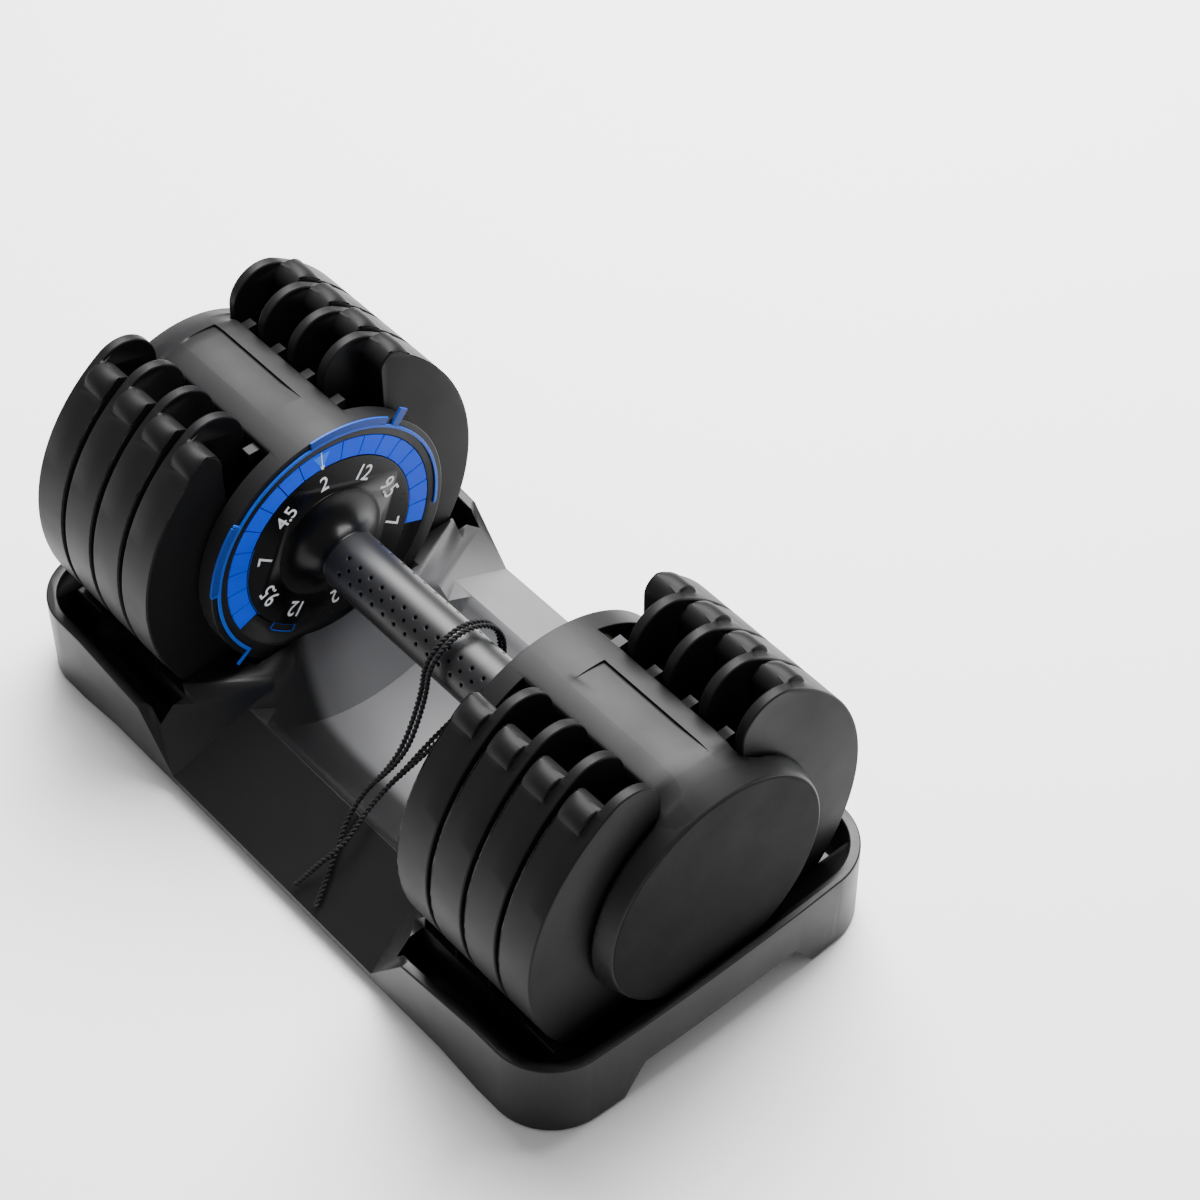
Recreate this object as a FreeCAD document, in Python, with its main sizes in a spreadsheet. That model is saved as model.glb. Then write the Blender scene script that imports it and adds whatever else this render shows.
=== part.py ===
import FreeCAD, Part
import math
import os
import re
import Sketcher

# Adjustable twist-handle dumbbell in its tray, millimetres.
# +X runs along the handle, +Y across it and +Z up. The ground is z = 0, under the rubber feet.
# The head on the +X side is called near, the one on the -X side far. The far head is the near
# head mirrored in the plane x = 0, except for what both heads share.

# ---------------------------------------------------------------- driving sizes
SIZES = [
    # overall
    ("axis_height", 94.0, "handle axis above the ground"),
    ("head_start", 75.0, "inner face of each head from the middle"),
    ("plate_count", 4, "loose weight plates in each head"),
    # weight plates
    ("plate_radius", 90.5, "round edge of a plate"),
    ("plate_flat", 55.0, "flat bottom of a plate below the axis"),
    ("plate_thick", 19.0, "whole plate"),
    ("web_thick", 5.0, "thin horned layer on the outer side of a plate"),
    ("plate_gap", 2.5, "space between plates"),
    ("slot_half", 21.5, "half width of the slot in the horned layer"),
    ("horn_round", 17.0, "radius of a horn's tip"),
    ("recess_half", 43.0, "radius of the pocket for the selector disc"),
    ("nub_round", 8.5, "radius of the rounded nub beside a horn"),
    ("nub_rise", 67.5, "centre of the nub above the axis"),
    ("lug_width", 8.0, "lift lug under the slot"),
    ("lug_reach", 4.0, "how far the lug stands out of the horned layer"),
    # head casing
    ("flange_thick", 10.0, "inner flange"),
    ("flange_radius", 64.5, "inner flange and saddle cover"),
    ("flange_gap", 2.0, "inner flange to the first plate"),
    ("cap_gap", 1.8, "last plate to the end cap"),
    ("cap_thick", 10.0, "end cap"),
    ("cap_radius", 60.0, "end cap at its back edge"),
    ("cap_face_radius", 57.0, "end cap at its face"),
    ("cap_dish", 1.2, "hollow of the end cap's face"),
    ("cap_pocket", 7.2, "depth of the pocket behind the end cap"),
    ("cap_pocket_radius", 52.0, "radius of that pocket"),
    ("saddle_half", 20.2, "half width of the saddle cover"),
    ("saddle_wall", 2.6, "saddle cover wall"),
    ("saddle_skirt", 42.0, "bottom of the saddle's sides above the axis"),
    ("saddle_taper", 6.0, "length over which the saddle comes down to the cap"),
    ("panel_half", 9.5, "half width of the sunk panel"),
    ("panel_deep", 0.8, "depth of the sunk panel"),
    ("panel_inset", 16.0, "panel to the inner flange"),
    ("panel_end", 7.5, "panel to the end cap"),
    ("tooth_width", 5.0, "guide tooth along the handle"),
    ("tooth_reach", 6.0, "guide tooth sideways"),
    ("tooth_low", 54.0, "bottom of a guide tooth above the axis"),
    ("tooth_tall", 5.0, "height of a guide tooth"),
    ("beam_half", 14.0, "half width of the steel beam under the saddle"),
    ("beam_low", 45.0, "bottom of that beam above the axis"),
    ("beam_thick", 4.0, "beam plate"),
    ("beam_foot_half", 28.0, "half width of the beam's foot on the flange"),
    ("beam_foot_thick", 1.6, "that foot along the handle"),
    ("end_plate_thick", 2.5, "steel plate behind the end cap"),
    ("end_plate_gap", 0.4, "end plate to the pocket's wall"),
    # dial, scale and trim
    ("dial_radius", 45.3, "numbered dial"),
    ("dial_gap", 0.4, "dial to the flange"),
    ("dial_seat", 3.6, "depth of the dial's pocket"),
    ("dial_proud", 0.2, "dial face in front of the flange"),
    ("hub_radius", 28.5, "raised hub on the dial"),
    ("hub_step", 0.8, "height of the hub's step"),
    ("scale_radius", 56.0, "blue scale ring, outside"),
    ("scale_thick", 1.0, "blue scale ring"),
    ("trim_inner", 60.0, "blue trim ring, inside"),
    ("trim_outer", 62.2, "blue trim ring, outside"),
    ("trim_thick", 1.2, "blue trim ring"),
    # handle and selector
    ("shaft_radius", 9.0, "steel shaft"),
    ("shaft_flat", 7.5, "drive flats from the shaft's centre"),
    ("shaft_fit", 0.05, "clearance all round the shaft"),
    ("grip_radius", 14.5, "grip"),
    ("grip_half", 60.0, "half length of the grip"),
    ("rim_radius", 39.5, "selector disc, outside"),
    ("rim_wall", 4.0, "selector disc's rim"),
    ("rim_reach", 5.3, "how far the rim stands out of the disc"),
    ("rim_clear", 1.2, "rim to the horned layer"),
    ("rim_gap_angle", 18.0, "opening in the rim that lets a lug through"),
    ("disc_thick", 6.0, "selector disc without its rim"),
    ("lug_clear", 0.9, "lug to the inside of the rim"),
    ("spacer_radius", 12.0, "spacers and bushes, outside"),
    ("click_angle", 36.0, "turn from one weight to the next"),
    ("wheel_radius", 42.0, "notched lock wheel"),
    ("wheel_thick", 2.8, "notched lock wheel"),
    ("wheel_gap", 0.2, "lock wheel to the flange's back face"),
    ("notch_width", 6.0, "notch in the lock wheel"),
    ("notch_deep", 6.8, "notch in the lock wheel"),
    # lock slider
    ("lock_travel", 6.0, "drop of the lock slider"),
    ("lock_thick", 1.2, "lock slider plate"),
    ("lock_half", 17.0, "half width of the lock slider"),
    ("lock_fit", 0.4, "lock slider to its channel"),
    ("lock_pocket", 4.7, "depth of the channel behind the flange"),
    ("lock_foot", 65.0, "foot of the slider below the axis"),
    ("lock_foot_half", 8.0, "half width of that foot"),
    ("lock_plate_low", 56.0, "bottom of the slider's plate below the axis"),
    ("lock_top", 50.0, "top of the slider above the axis"),
    ("lock_lift", 0.6, "raised tooth to the lock wheel"),
    ("lock_ceiling", 58.5, "top of the channel above the axis"),
    ("spring_radius", 1.7, "return spring, to the wire's centre"),
    ("spring_wire", 0.6, "return spring wire"),
    # click plunger
    ("ball_radius", 1.4, "click ball"),
    ("ball_bore", 1.5, "bore that the click ball runs in"),
    ("click_tilt", 18.0, "plunger's angle above the horizontal"),
    ("click_clear", 0.3, "ball to the lock wheel"),
    ("click_bore", 57.5, "outer end of the plunger's bore"),
    # shaft ends
    ("washer_thick", 1.0, "end washer"),
    ("washer_radius", 14.0, "end washer"),
    ("nut_thick", 2.8, "end nut"),
    ("nut_radius", 13.0, "end nut over its corners"),
    ("cap_screw_circle", 44.0, "radius of the circle of cap screws"),
    ("screw_radius", 1.5, "screw shank"),
    ("screw_head", 3.0, "screw head radius"),
    ("boss_radius", 4.0, "screw boss"),
    # tray
    ("tray_length", 376.0, "tray along the handle"),
    ("tray_width", 196.0, "tray across the handle"),
    ("tray_wall", 3.0, "tray wall"),
    ("lip_height", 44.0, "top of the tray's end walls"),
    ("lip_width", 5.0, "width of the lip on the side walls"),
    ("lip_start", 140.0, "where the side walls reach the full height"),
    ("corner_round", 30.0, "tray corner"),
    ("end_bow", 3.0, "bow of each end wall"),
    ("deck_height", 46.0, "deck that the plates stand in"),
    ("groove_gap", 0.4, "plate to the side of its groove"),
    ("seat_gap", 0.3, "plate to the bottom of its groove"),
    ("rack_half", 78.0, "half width of the deck"),
    ("trough_floor", 14.0, "floor beside the deck"),
    ("end_floor", 40.0, "floor between the last plate and the end wall"),
    ("casing_clear", 1.5, "end cap and flange to the tray"),
    ("flange_clear", 3.0, "flange's edge to the tray below it"),
    ("middle_half", 72.0, "half length of the low middle"),
    ("middle_edge", 9.0, "side edge of the low middle"),
    ("shoulder_half", 95.0, "where the side wall starts to drop, from the middle"),
    ("shoulder_height", 38.0, "side wall there"),
    ("ridge_half", 60.0, "ridge beside the valley, from the middle"),
    ("ridge_end", 63.0, "end of that ridge"),
    ("ridge_height", 35.0, "top of that ridge"),
    ("valley_radius", 84.0, "hand valley round the handle's axis"),
    ("valley_straight", 50.0, "half length of its straight stretch"),
    ("valley_end", 76.0, "where the valley reaches the deck"),
    ("sole_low", 1.5, "underside of the tray's feet"),
    ("sole_high", 5.0, "underside between the feet"),
    ("foot_start", 143.0, "where the feet start, from the middle"),
    ("foot_end", 118.0, "where the step up from the feet ends"),
    ("pad_boss", 12.0, "boss over each rubber foot"),
    ("arch_half", 54.0, "half width of the end arch at the ground"),
    ("arch_top_half", 43.0, "half width of the end arch at its top"),
    ("arch_height", 18.0, "end arch"),
    ("pad_radius", 9.0, "rubber foot"),
    ("pad_thick", 3.0, "rubber foot"),
    ("pad_x", 160.0, "rubber foot from the middle"),
    ("pad_y", 74.0, "rubber foot from the middle line"),
    # hang cord
    ("cord_diameter", 2.8, "hang cord"),
]

# Places that follow from the sizes, as formulas in their names.
PLACES = {
    "pitch": "plate_thick + plate_gap",
    "flange_back": "head_start + flange_thick",
    "plates_in": "flange_back + flange_gap",
    "plates_out": "plates_in + plate_count * pitch - plate_gap",
    "cap_in": "plates_out + cap_gap",
    "cap_out": "cap_in + cap_thick",
    "pocket_front": "flange_back - lock_pocket",
    "pocket_middle": "flange_back - lock_pocket / 2",
    "click_x": "flange_back - 0.3 - ball_bore",
    "wheel_front": "flange_back - wheel_gap - wheel_thick",
    "dial_back": "head_start + dial_seat - 0.2",
    "dial_face": "head_start - dial_proud",
    "hub_face": "dial_face - hub_step",
    "bore_radius": "shaft_radius + shaft_fit",
    "shaft_end": "cap_in + end_plate_thick + washer_thick + nut_thick + 0.2",
    "horn_y": "slot_half + horn_round",
    "horn_reach": "plate_radius - horn_round",
    "horn_rise": "sqrt(horn_reach * horn_reach - horn_y * horn_y)",
    "nub_y": "recess_half + nub_round",
    "flat_half": "sqrt(plate_radius * plate_radius - plate_flat * plate_flat)",
    "lug_low": "rim_radius - rim_wall - lug_clear",
    "post_top": "axis_height - lock_foot - seat_gap",
    "casing_rise": "axis_height + flange_radius",
}

DOC = FreeCAD.newDocument("AdjustableDumbbell")
SHEET = DOC.addObject("Spreadsheet::Sheet", "Sizes")
for row, (alias, value, note) in enumerate(SIZES, start=1):
    SHEET.set(f"A{row}", alias)
    SHEET.set(f"B{row}", str(value))
    SHEET.set(f"C{row}", note)
    SHEET.setAlias(f"B{row}", alias)
DOC.recompute()

ALIASES = {alias for alias, _, _ in SIZES}
NODES = []
UP = FreeCAD.Vector(0, 0, 1)
ALONG = FreeCAD.Vector(1, 0, 0)
TURN_TO_X = FreeCAD.Rotation(FreeCAD.Vector(0, 1, 0), 90)


def formula(text):
    """Write a formula in the sheet's own names, with every place spelled out."""
    def spell(match):
        word = match.group()
        if word in PLACES:
            return "(" + formula(PLACES[word]) + ")"
        return "Sizes." + word if word in ALIASES else word
    return re.sub(r"[a-z][a-z_]*", spell, str(text))


def number(text):
    """Return a formula's value."""
    return float(SHEET.evalExpression(formula(text)))


def bind(item, **sizes):
    """Tie an object's properties to formulas."""
    for name, text in sizes.items():
        item.setExpression(name, formula(text))
    return item


def place(item, x="0", y="0", z="0", rotation=None):
    """Put an object at a place given by formulas."""
    item.Placement = FreeCAD.Placement(FreeCAD.Vector(), rotation or FreeCAD.Rotation())
    for axis, text in (("x", x), ("y", y), ("z", z)):
        item.setExpression("Placement.Base." + axis, formula(text))
    return item


def new(kind, name):
    """Add an object to the document."""
    return DOC.addObject(kind, name)


def rod(name, radius, x, length, y="0", z="axis_height"):
    """A cylinder along +X."""
    item = bind(new("Part::Cylinder", name), Radius=radius, Height=length)
    return place(item, x, y, z, TURN_TO_X)


def post(name, radius, x, y, z, height):
    """An upright cylinder."""
    return place(bind(new("Part::Cylinder", name), Radius=radius, Height=height), x, y, z)


def block(name, x, y, z, length, width, height):
    """A box from its low corner."""
    item = bind(new("Part::Box", name), Length=length, Width=width, Height=height)
    return place(item, x, y, z)


def strip(name, x, z, length, half, height):
    """A box centred on the plane y = 0."""
    return block(name, x, f"-({half})", z, length, f"2 * ({half})", height)


def sector(name, radius, start, sweep, x, length):
    """A slice of a cylinder along +X, from the start angle, 0 at +Y and 90 at +Z."""
    item = bind(new("Part::Cylinder", name), Radius=radius, Height=length)
    item.Angle = sweep
    turn = FreeCAD.Rotation(ALONG, start + 90) * TURN_TO_X
    return place(item, x, "0", "axis_height", turn)


def spoke(name, angle, inner, outer, width, x, length):
    """A box that points out from the handle's axis at an angle, 0 at +Y and 90 at +Z."""
    item = bind(new("Part::Box", name), Length=length, Width=width, Height=f"({outer}) - ({inner})")
    lean = angle - 90
    y = f"-({width}) / 2 * cos({lean}) - ({inner}) * sin({lean})"
    z = f"axis_height - ({width}) / 2 * sin({lean}) + ({inner}) * cos({lean})"
    return place(item, x, y, z, FreeCAD.Rotation(ALONG, lean))


def fuse(name, *parts):
    """Join objects."""
    if len(parts) == 1:
        return parts[0]
    item = new("Part::MultiFuse", name)
    item.Shapes = list(parts)
    return item


def cut(name, base, *tools):
    """Cut objects out of a base."""
    item = new("Part::Cut", name)
    item.Base = base
    item.Tool = fuse(name + "Tools", *tools)
    return item


def common(name, *parts):
    """Keep what objects share."""
    item = new("Part::MultiCommon", name)
    item.Shapes = list(parts)
    return item


def group(name, *parts):
    """Separate solids in one node."""
    item = new("Part::Compound", name)
    item.Links = list(parts)
    return item


def mirrored(name, source):
    """The far head's copy of a near piece."""
    item = new("Part::Mirroring", name)
    item.Source = source
    item.Normal = ALONG
    return item


def node(label, item):
    """Keep an object as a sub-part, under its label."""
    item.Label = label
    NODES.append(item)
    return item


def both(label, item):
    """Keep a near piece and its far copy."""
    node(label + "_near", item)
    return node(label + "_far", mirrored(item.Name + "Far", item))


# ---------------------------------------------------------------- sketches
def draw(body, name, role, corners, arcs, offset="0", lift="0"):
    """Draw a closed outline on one of a body's planes.

    corners are (u, v) formulas in order. arcs maps a side's index to the radius and centre of
    the arc that replaces it, and to True where the arc runs anticlockwise. offset moves the
    sketch off its plane and lift moves it up the plane's second axis.
    """
    sketch = body.newObject("Sketcher::SketchObject", name)
    plane = [item for item in body.Origin.OriginFeatures if item.Role == role][0]
    sketch.AttachmentSupport = [(plane, "")]
    sketch.MapMode = "FlatFace"
    sketch.setExpression("AttachmentOffset.Base.z", formula(offset))
    sketch.setExpression("AttachmentOffset.Base.y", formula(lift))
    spots = [FreeCAD.Vector(number(u), number(v), 0) for u, v in corners]
    ends = []
    for side, start in enumerate(spots):
        finish = spots[(side + 1) % len(spots)]
        if side not in arcs:
            index = sketch.addGeometry(Part.LineSegment(start, finish), False)
            ends.append((index, 1, 2))
            continue
        radius, centre_u, centre_v, anticlockwise = arcs[side]
        centre = FreeCAD.Vector(number(centre_u), number(centre_v), 0)
        first, last = (start, finish) if anticlockwise else (finish, start)
        angles = [math.atan2(spot.y - centre.y, spot.x - centre.x) for spot in (first, last)]
        if angles[1] < angles[0]:
            angles[1] += 2 * math.pi
        circle = Part.Circle(centre, UP, number(radius))
        index = sketch.addGeometry(Part.ArcOfCircle(circle, *angles), False)
        ends.append((index, 1, 2) if anticlockwise else (index, 2, 1))
        held = sketch.addConstraint(Sketcher.Constraint("Radius", index, number(radius)))
        sketch.setExpression(f"Constraints[{held}]", formula(radius))
    for side, (index, first, _) in enumerate(ends):
        before, _, last = ends[side - 1]
        sketch.addConstraint(Sketcher.Constraint("Coincident", before, last, index, first))
        for kind, axis, text in (("DistanceX", -2, corners[side][0]), ("DistanceY", -1, corners[side][1])):
            if abs(number(text)) < 1e-9:
                sketch.addConstraint(Sketcher.Constraint("PointOnObject", index, first, axis))
                continue
            held = sketch.addConstraint(Sketcher.Constraint(kind, -1, 1, index, first, number(text)))
            sketch.setExpression(f"Constraints[{held}]", formula(text))
    return sketch


def turned(name, corners, arcs=None):
    """A body of revolution round the handle's axis, from an outline of (x, radius)."""
    body = new("PartDesign::Body", name)
    sketch = draw(body, name + "Outline", "XZ_Plane", corners, arcs or {}, lift="axis_height")
    turn = body.newObject("PartDesign::Revolution", name + "Turn")
    turn.Profile = sketch
    turn.ReferenceAxis = (sketch, ["H_Axis"])
    turn.Angle = 360
    body.Tip = turn
    return body


# ---------------------------------------------------------------- weight plates
def weight_plate(index):
    """A U-shaped plate: thick layer on the handle's side, thin horned layer on the outer side.

    Half of each layer's outline is drawn and mirrored in the plane y = 0. A lug under the slot
    stands inside the selector disc's rim.
    """
    name = f"Plate{index + 1}"
    start = f"(plates_in + {index} * pitch)"
    web_face = f"({start} + plate_thick - web_thick)"
    body = new("PartDesign::Body", name)
    reach = math.hypot(number("nub_y"), number("nub_rise"))
    radius, nub = number("plate_radius"), number("nub_round")
    meet = math.acos((reach ** 2 + radius ** 2 - nub ** 2) / (2 * reach * radius))
    lean = math.atan2(number("nub_rise"), number("nub_y")) - meet
    nub_end = (f"plate_radius * cos({math.degrees(lean)})", f"plate_radius * sin({math.degrees(lean)})")
    thick = draw(body, name + "Thick", "YZ_Plane", [
        ("0", "-(plate_flat)"),
        ("flat_half", "-(plate_flat)"),
        nub_end,
        ("recess_half", "nub_rise"),
        ("recess_half", "0"),
        ("0", "-(recess_half)"),
    ], {
        1: ("plate_radius", "0", "0", True),
        2: ("nub_round", "nub_y", "nub_rise", True),
        4: ("recess_half", "0", "0", False),
    }, offset=start, lift="axis_height")
    web = draw(body, name + "Web", "YZ_Plane", [
        ("0", "-(plate_flat)"),
        ("flat_half", "-(plate_flat)"),
        ("horn_y * plate_radius / horn_reach", "horn_rise * plate_radius / horn_reach"),
        ("slot_half", "horn_rise"),
        ("slot_half", "0"),
        ("0", "-(slot_half)"),
    ], {
        1: ("plate_radius", "0", "0", True),
        2: ("horn_round", "horn_y", "horn_rise", True),
        4: ("slot_half", "0", "0", False),
    }, offset=web_face, lift="axis_height")
    lug = draw(body, name + "Lug", "YZ_Plane", [
        ("0", "-(lug_low)"),
        ("lug_width / 2", "-(lug_low)"),
        ("lug_width / 2", "-(slot_half + 2)"),
        ("0", "-(slot_half + 2)"),
    ], {}, offset=f"{web_face} - lug_reach", lift="axis_height")
    pads = []
    for part, sketch, length in (("Thick", thick, "plate_thick - web_thick"), ("Web", web, "web_thick"),
                                 ("Lug", lug, "lug_reach + web_thick / 2")):
        pad = body.newObject("PartDesign::Pad", f"{name}{part}Pad")
        pad.Profile = sketch
        pad.setExpression("Length", formula(length))
        pads.append(pad)
    mirror = body.newObject("PartDesign::Mirrored", name + "Mirror")
    mirror.Originals = pads
    mirror.MirrorPlane = (thick, ["V_Axis"])
    body.Tip = mirror
    return body


for index in range(int(number("plate_count"))):
    plate = weight_plate(index)
    node(f"plate_near_{index + 1}", plate)
    node(f"plate_far_{index + 1}", mirrored(plate.Name + "Far", plate))


# ---------------------------------------------------------------- head casing
def drive_bore(name, x, length):
    """The hole that fits over the shaft's two flats."""
    round_hole = rod(name + "Round", "bore_radius", x, length)
    flats = strip(name + "Flats", x, "axis_height - shaft_flat - shaft_fit", length,
                  "bore_radius", "2 * (shaft_flat + shaft_fit)")
    return common(name, round_hole, flats)


def inner_flange():
    """Disc between handle and plates, with pockets for the dial, scale, lock wheel and slider."""
    name = "Flange"
    click_bore = bind(new("Part::Cylinder", name + "ClickBore"), Radius="ball_bore",
                      Height="click_bore - wheel_radius")
    tilt = number("click_tilt")
    turn = FreeCAD.Rotation(ALONG, tilt - 90)
    place(click_bore, "click_x", f"wheel_radius * cos({tilt})",
          f"axis_height + wheel_radius * sin({tilt})", turn)
    return cut(
        name,
        rod(name + "Disc", "flange_radius", "head_start", "flange_thick"),
        rod(name + "ScaleSeat", "scale_radius", "head_start", "scale_thick"),
        rod(name + "DialSeat", "dial_radius + dial_gap", "head_start", "dial_seat"),
        rod(name + "Bore", "spacer_radius", "head_start", "flange_thick"),
        rod(name + "WheelSeat", "wheel_radius + 1", "pocket_front", "lock_pocket"),
        strip(name + "Channel", "pocket_front", "axis_height - flange_radius - 1", "lock_pocket",
              "lock_half + lock_fit", "flange_radius + lock_ceiling + 1"),
        click_bore,
    )


def saddle_cover():
    """Half-round bridge over the plates, with a sunk panel, skirts and guide teeth."""
    name = "Saddle"
    length = "cap_in - flange_back"
    arch = rod(name + "Arch", "flange_radius", "flange_back", f"{length} - saddle_taper")
    taper = bind(new("Part::Cone", name + "Taper"), Radius1="flange_radius", Radius2="cap_radius",
                 Height="saddle_taper")
    place(taper, "cap_in - saddle_taper", "0", "axis_height", TURN_TO_X)
    strip_all = strip(name + "Width", "flange_back", "axis_height + saddle_skirt", length,
                      "saddle_half", "flange_radius")
    solid = common(name + "Solid", fuse(name + "Top", arch, taper), strip_all)
    hollow_x = "flange_back + saddle_wall"
    hollow_length = f"{length} - saddle_wall - saddle_taper"
    hollow = common(
        name + "Hollow",
        rod(name + "HollowRound", "flange_radius - saddle_wall", hollow_x, hollow_length),
        strip(name + "HollowWidth", hollow_x, "axis_height + saddle_skirt - 1", hollow_length,
              "saddle_half - saddle_wall", "flange_radius"),
    )
    beam_way = strip(name + "BeamWay", "flange_back", "axis_height + saddle_skirt - 1", length,
                     "beam_half", "beam_low + beam_thick - saddle_skirt + 1")
    foot_way = strip(name + "FootWay", "flange_back", "axis_height + saddle_skirt - 1", "beam_foot_thick",
                     "beam_foot_half", "beam_low + beam_thick - saddle_skirt + 1")
    panel_x = "flange_back + panel_inset"
    panel_length = "cap_in - panel_end - flange_back - panel_inset"
    panel = common(
        name + "Panel",
        cut(name + "PanelSkin",
            rod(name + "PanelOut", "flange_radius + 1", panel_x, panel_length),
            rod(name + "PanelIn", "flange_radius - panel_deep", panel_x, panel_length)),
        strip(name + "PanelWidth", panel_x, "axis_height", panel_length, "panel_half", "flange_radius + 2"),
    )
    shell = cut(name + "Shell", solid, hollow, beam_way, foot_way, panel)
    extras = []
    for index in range(int(number("plate_count"))):
        tooth_x = f"plates_in + {index} * pitch + (plate_thick - web_thick - tooth_width) / 2"
        for side, y in (("L", "-(saddle_half + tooth_reach)"), ("R", "saddle_half - 1")):
            extras.append(block(f"{name}Tooth{index}{side}", tooth_x, y, "axis_height + tooth_low",
                                "tooth_width", "tooth_reach + 1", "tooth_tall"))
    for index, spot in enumerate(SADDLE_SCREWS):
        boss = post(f"{name}Boss{index}", "boss_radius", spot, "0", "axis_height + beam_low + beam_thick",
                    "flange_radius - beam_low - beam_thick - saddle_wall / 2")
        hole = post(f"{name}BossHole{index}", "screw_radius + 0.05", spot, "0",
                    "axis_height + beam_low + beam_thick", "9")
        extras.append(cut(f"{name}BossCut{index}", boss, hole))
    return fuse(name, shell, *extras)


def end_cap():
    """Round cap with a slightly dished face and a pocket and screw bosses behind it."""
    name = "Cap"
    shell = turned(name + "Shell", [
        ("cap_in + cap_pocket", "0"),
        ("cap_out - cap_dish", "0"),
        ("cap_out", "cap_face_radius - 1.5"),
        ("cap_out", "cap_face_radius - 0.6"),
        ("cap_out - 0.8", "cap_face_radius + 0.4"),
        ("cap_in + 0.6", "cap_radius"),
        ("cap_in", "cap_radius - 0.4"),
        ("cap_in", "cap_pocket_radius"),
        ("cap_in + cap_pocket", "cap_pocket_radius"),
    ])
    bosses = []
    for quarter in range(4):
        y, z = screw_spot(quarter)
        x = "cap_in + end_plate_thick"
        length = "cap_pocket - end_plate_thick + 0.4"
        bosses.append(cut(
            f"{name}Boss{quarter}",
            rod(f"{name}BossRod{quarter}", "boss_radius", x, length, y, z),
            rod(f"{name}BossBore{quarter}", "screw_radius + 0.05", x, "cap_pocket - end_plate_thick", y, z),
        ))
    return fuse(name, shell, *bosses)


def screw_spot(quarter):
    """Where one of the four cap screws stands."""
    angle = 45 + 90 * quarter
    return f"cap_screw_circle * cos({angle})", f"axis_height + cap_screw_circle * sin({angle})"


def end_plate():
    """Steel disc behind the cap that carries the shaft's end."""
    name = "EndPlate"
    tools = [rod(name + "Bore", "spacer_radius", "cap_in", "end_plate_thick")]
    for quarter in range(4):
        y, z = screw_spot(quarter)
        tools.append(rod(f"{name}Hole{quarter}", "screw_radius + 0.1", "cap_in", "end_plate_thick", y, z))
        tools.append(rod(f"{name}Sink{quarter}", "screw_head + 0.1", "cap_in", "1.6", y, z))
    disc = rod(name + "Disc", "cap_pocket_radius - end_plate_gap", "cap_in", "end_plate_thick")
    return cut(name, disc, *tools)


def cap_screws():
    """Four sunk screws in each end plate."""
    parts = []
    for quarter in range(4):
        y, z = screw_spot(quarter)
        head = rod(f"CapScrewHead{quarter}", "screw_head", "cap_in + 0.1", "1.5", y, z)
        shank = rod(f"CapScrewShank{quarter}", "screw_radius", "cap_in + 0.2", "cap_pocket - 0.6", y, z)
        parts.append(fuse(f"CapScrew{quarter}", head, shank))
    near = group("CapScrewsNear", *parts)
    return group("CapScrews", near, mirrored("CapScrewsFar", near))


SADDLE_SCREWS = ("flange_back + 12", "cap_in - saddle_taper - 12")


def bridge_beam():
    """Flat steel beam from flange to end plate under the saddle, with a wide foot on the flange."""
    name = "Beam"
    bar = strip(name + "Bar", "flange_back", "axis_height + beam_low", "cap_in - flange_back",
                "beam_half", "beam_thick")
    foot = strip(name + "Foot", "flange_back", "axis_height + beam_low", "beam_foot_thick",
                 "beam_foot_half", "beam_thick")
    holes = [post(f"{name}Hole{index}", "screw_radius + 0.1", spot, "0", "axis_height + beam_low", "beam_thick")
             for index, spot in enumerate(SADDLE_SCREWS)]
    return cut(name, fuse(name + "Blank", bar, foot), *holes)


def saddle_screws():
    """Two screws from below through each beam into the saddle cover."""
    parts = []
    for index, spot in enumerate(SADDLE_SCREWS):
        head = post(f"SaddleScrewHead{index}", "screw_head", spot, "0", "axis_height + beam_low - 1.5", "1.5")
        shank = post(f"SaddleScrewShank{index}", "screw_radius", spot, "0", "axis_height + beam_low - 0.5", "12")
        parts.append(fuse(f"SaddleScrew{index}", head, shank))
    near = group("SaddleScrewsNear", *parts)
    return group("SaddleScrews", near, mirrored("SaddleScrewsFar", near))


both("inner_flange", inner_flange())
both("saddle_cover", saddle_cover())
both("end_cap", end_cap())
both("end_plate", end_plate())
both("bridge_beam", bridge_beam())
node("cap_screws", cap_screws())
node("saddle_screws", saddle_screws())


# ---------------------------------------------------------------- scale and trim on the flange
def scale_ring():
    """Blue scale round the dial, open at the bottom."""
    low, sweep = -23, 226
    return cut(
        "Scale",
        sector("ScaleOut", "scale_radius - 0.1", low, sweep, "head_start", "scale_thick"),
        rod("ScaleIn", "dial_radius + dial_gap", "head_start", "scale_thick"),
    )


TRIM_TABS = ((139, 33, 66.5), (56, 39, 68.0), (47.5, 4.5, 71.5), (216, 3, 69.5))


def trim_ring():
    """Thin blue ring with clip tabs that stand over the flange's edge."""
    x = "head_start - trim_thick"
    ring = sector("TrimOut", "trim_outer", -20, 238.5, x, "trim_thick")
    tabs = [sector(f"TrimTab{index}", str(radius), start, sweep, x, "trim_thick")
            for index, (start, sweep, radius) in enumerate(TRIM_TABS)]
    return cut("Trim", fuse("TrimSolid", ring, *tabs), rod("TrimIn", "trim_inner", x, "trim_thick"))


both("scale_ring", scale_ring())
both("trim_ring", trim_ring())


# ---------------------------------------------------------------- handle and selector
def number_dial():
    """Dial with a hub that sweeps down to the grip."""
    flare = "(hub_radius - grip_radius)"
    return turned("Dial", [
        ("dial_back", "bore_radius"),
        ("dial_back", "dial_radius"),
        ("dial_face", "dial_radius"),
        ("dial_face", "hub_radius"),
        (f"grip_half + {flare}", "hub_radius"),
        ("grip_half", "grip_radius"),
        ("grip_half", "bore_radius"),
    ], {4: (flare, "grip_half", "hub_radius", False)})


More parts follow.
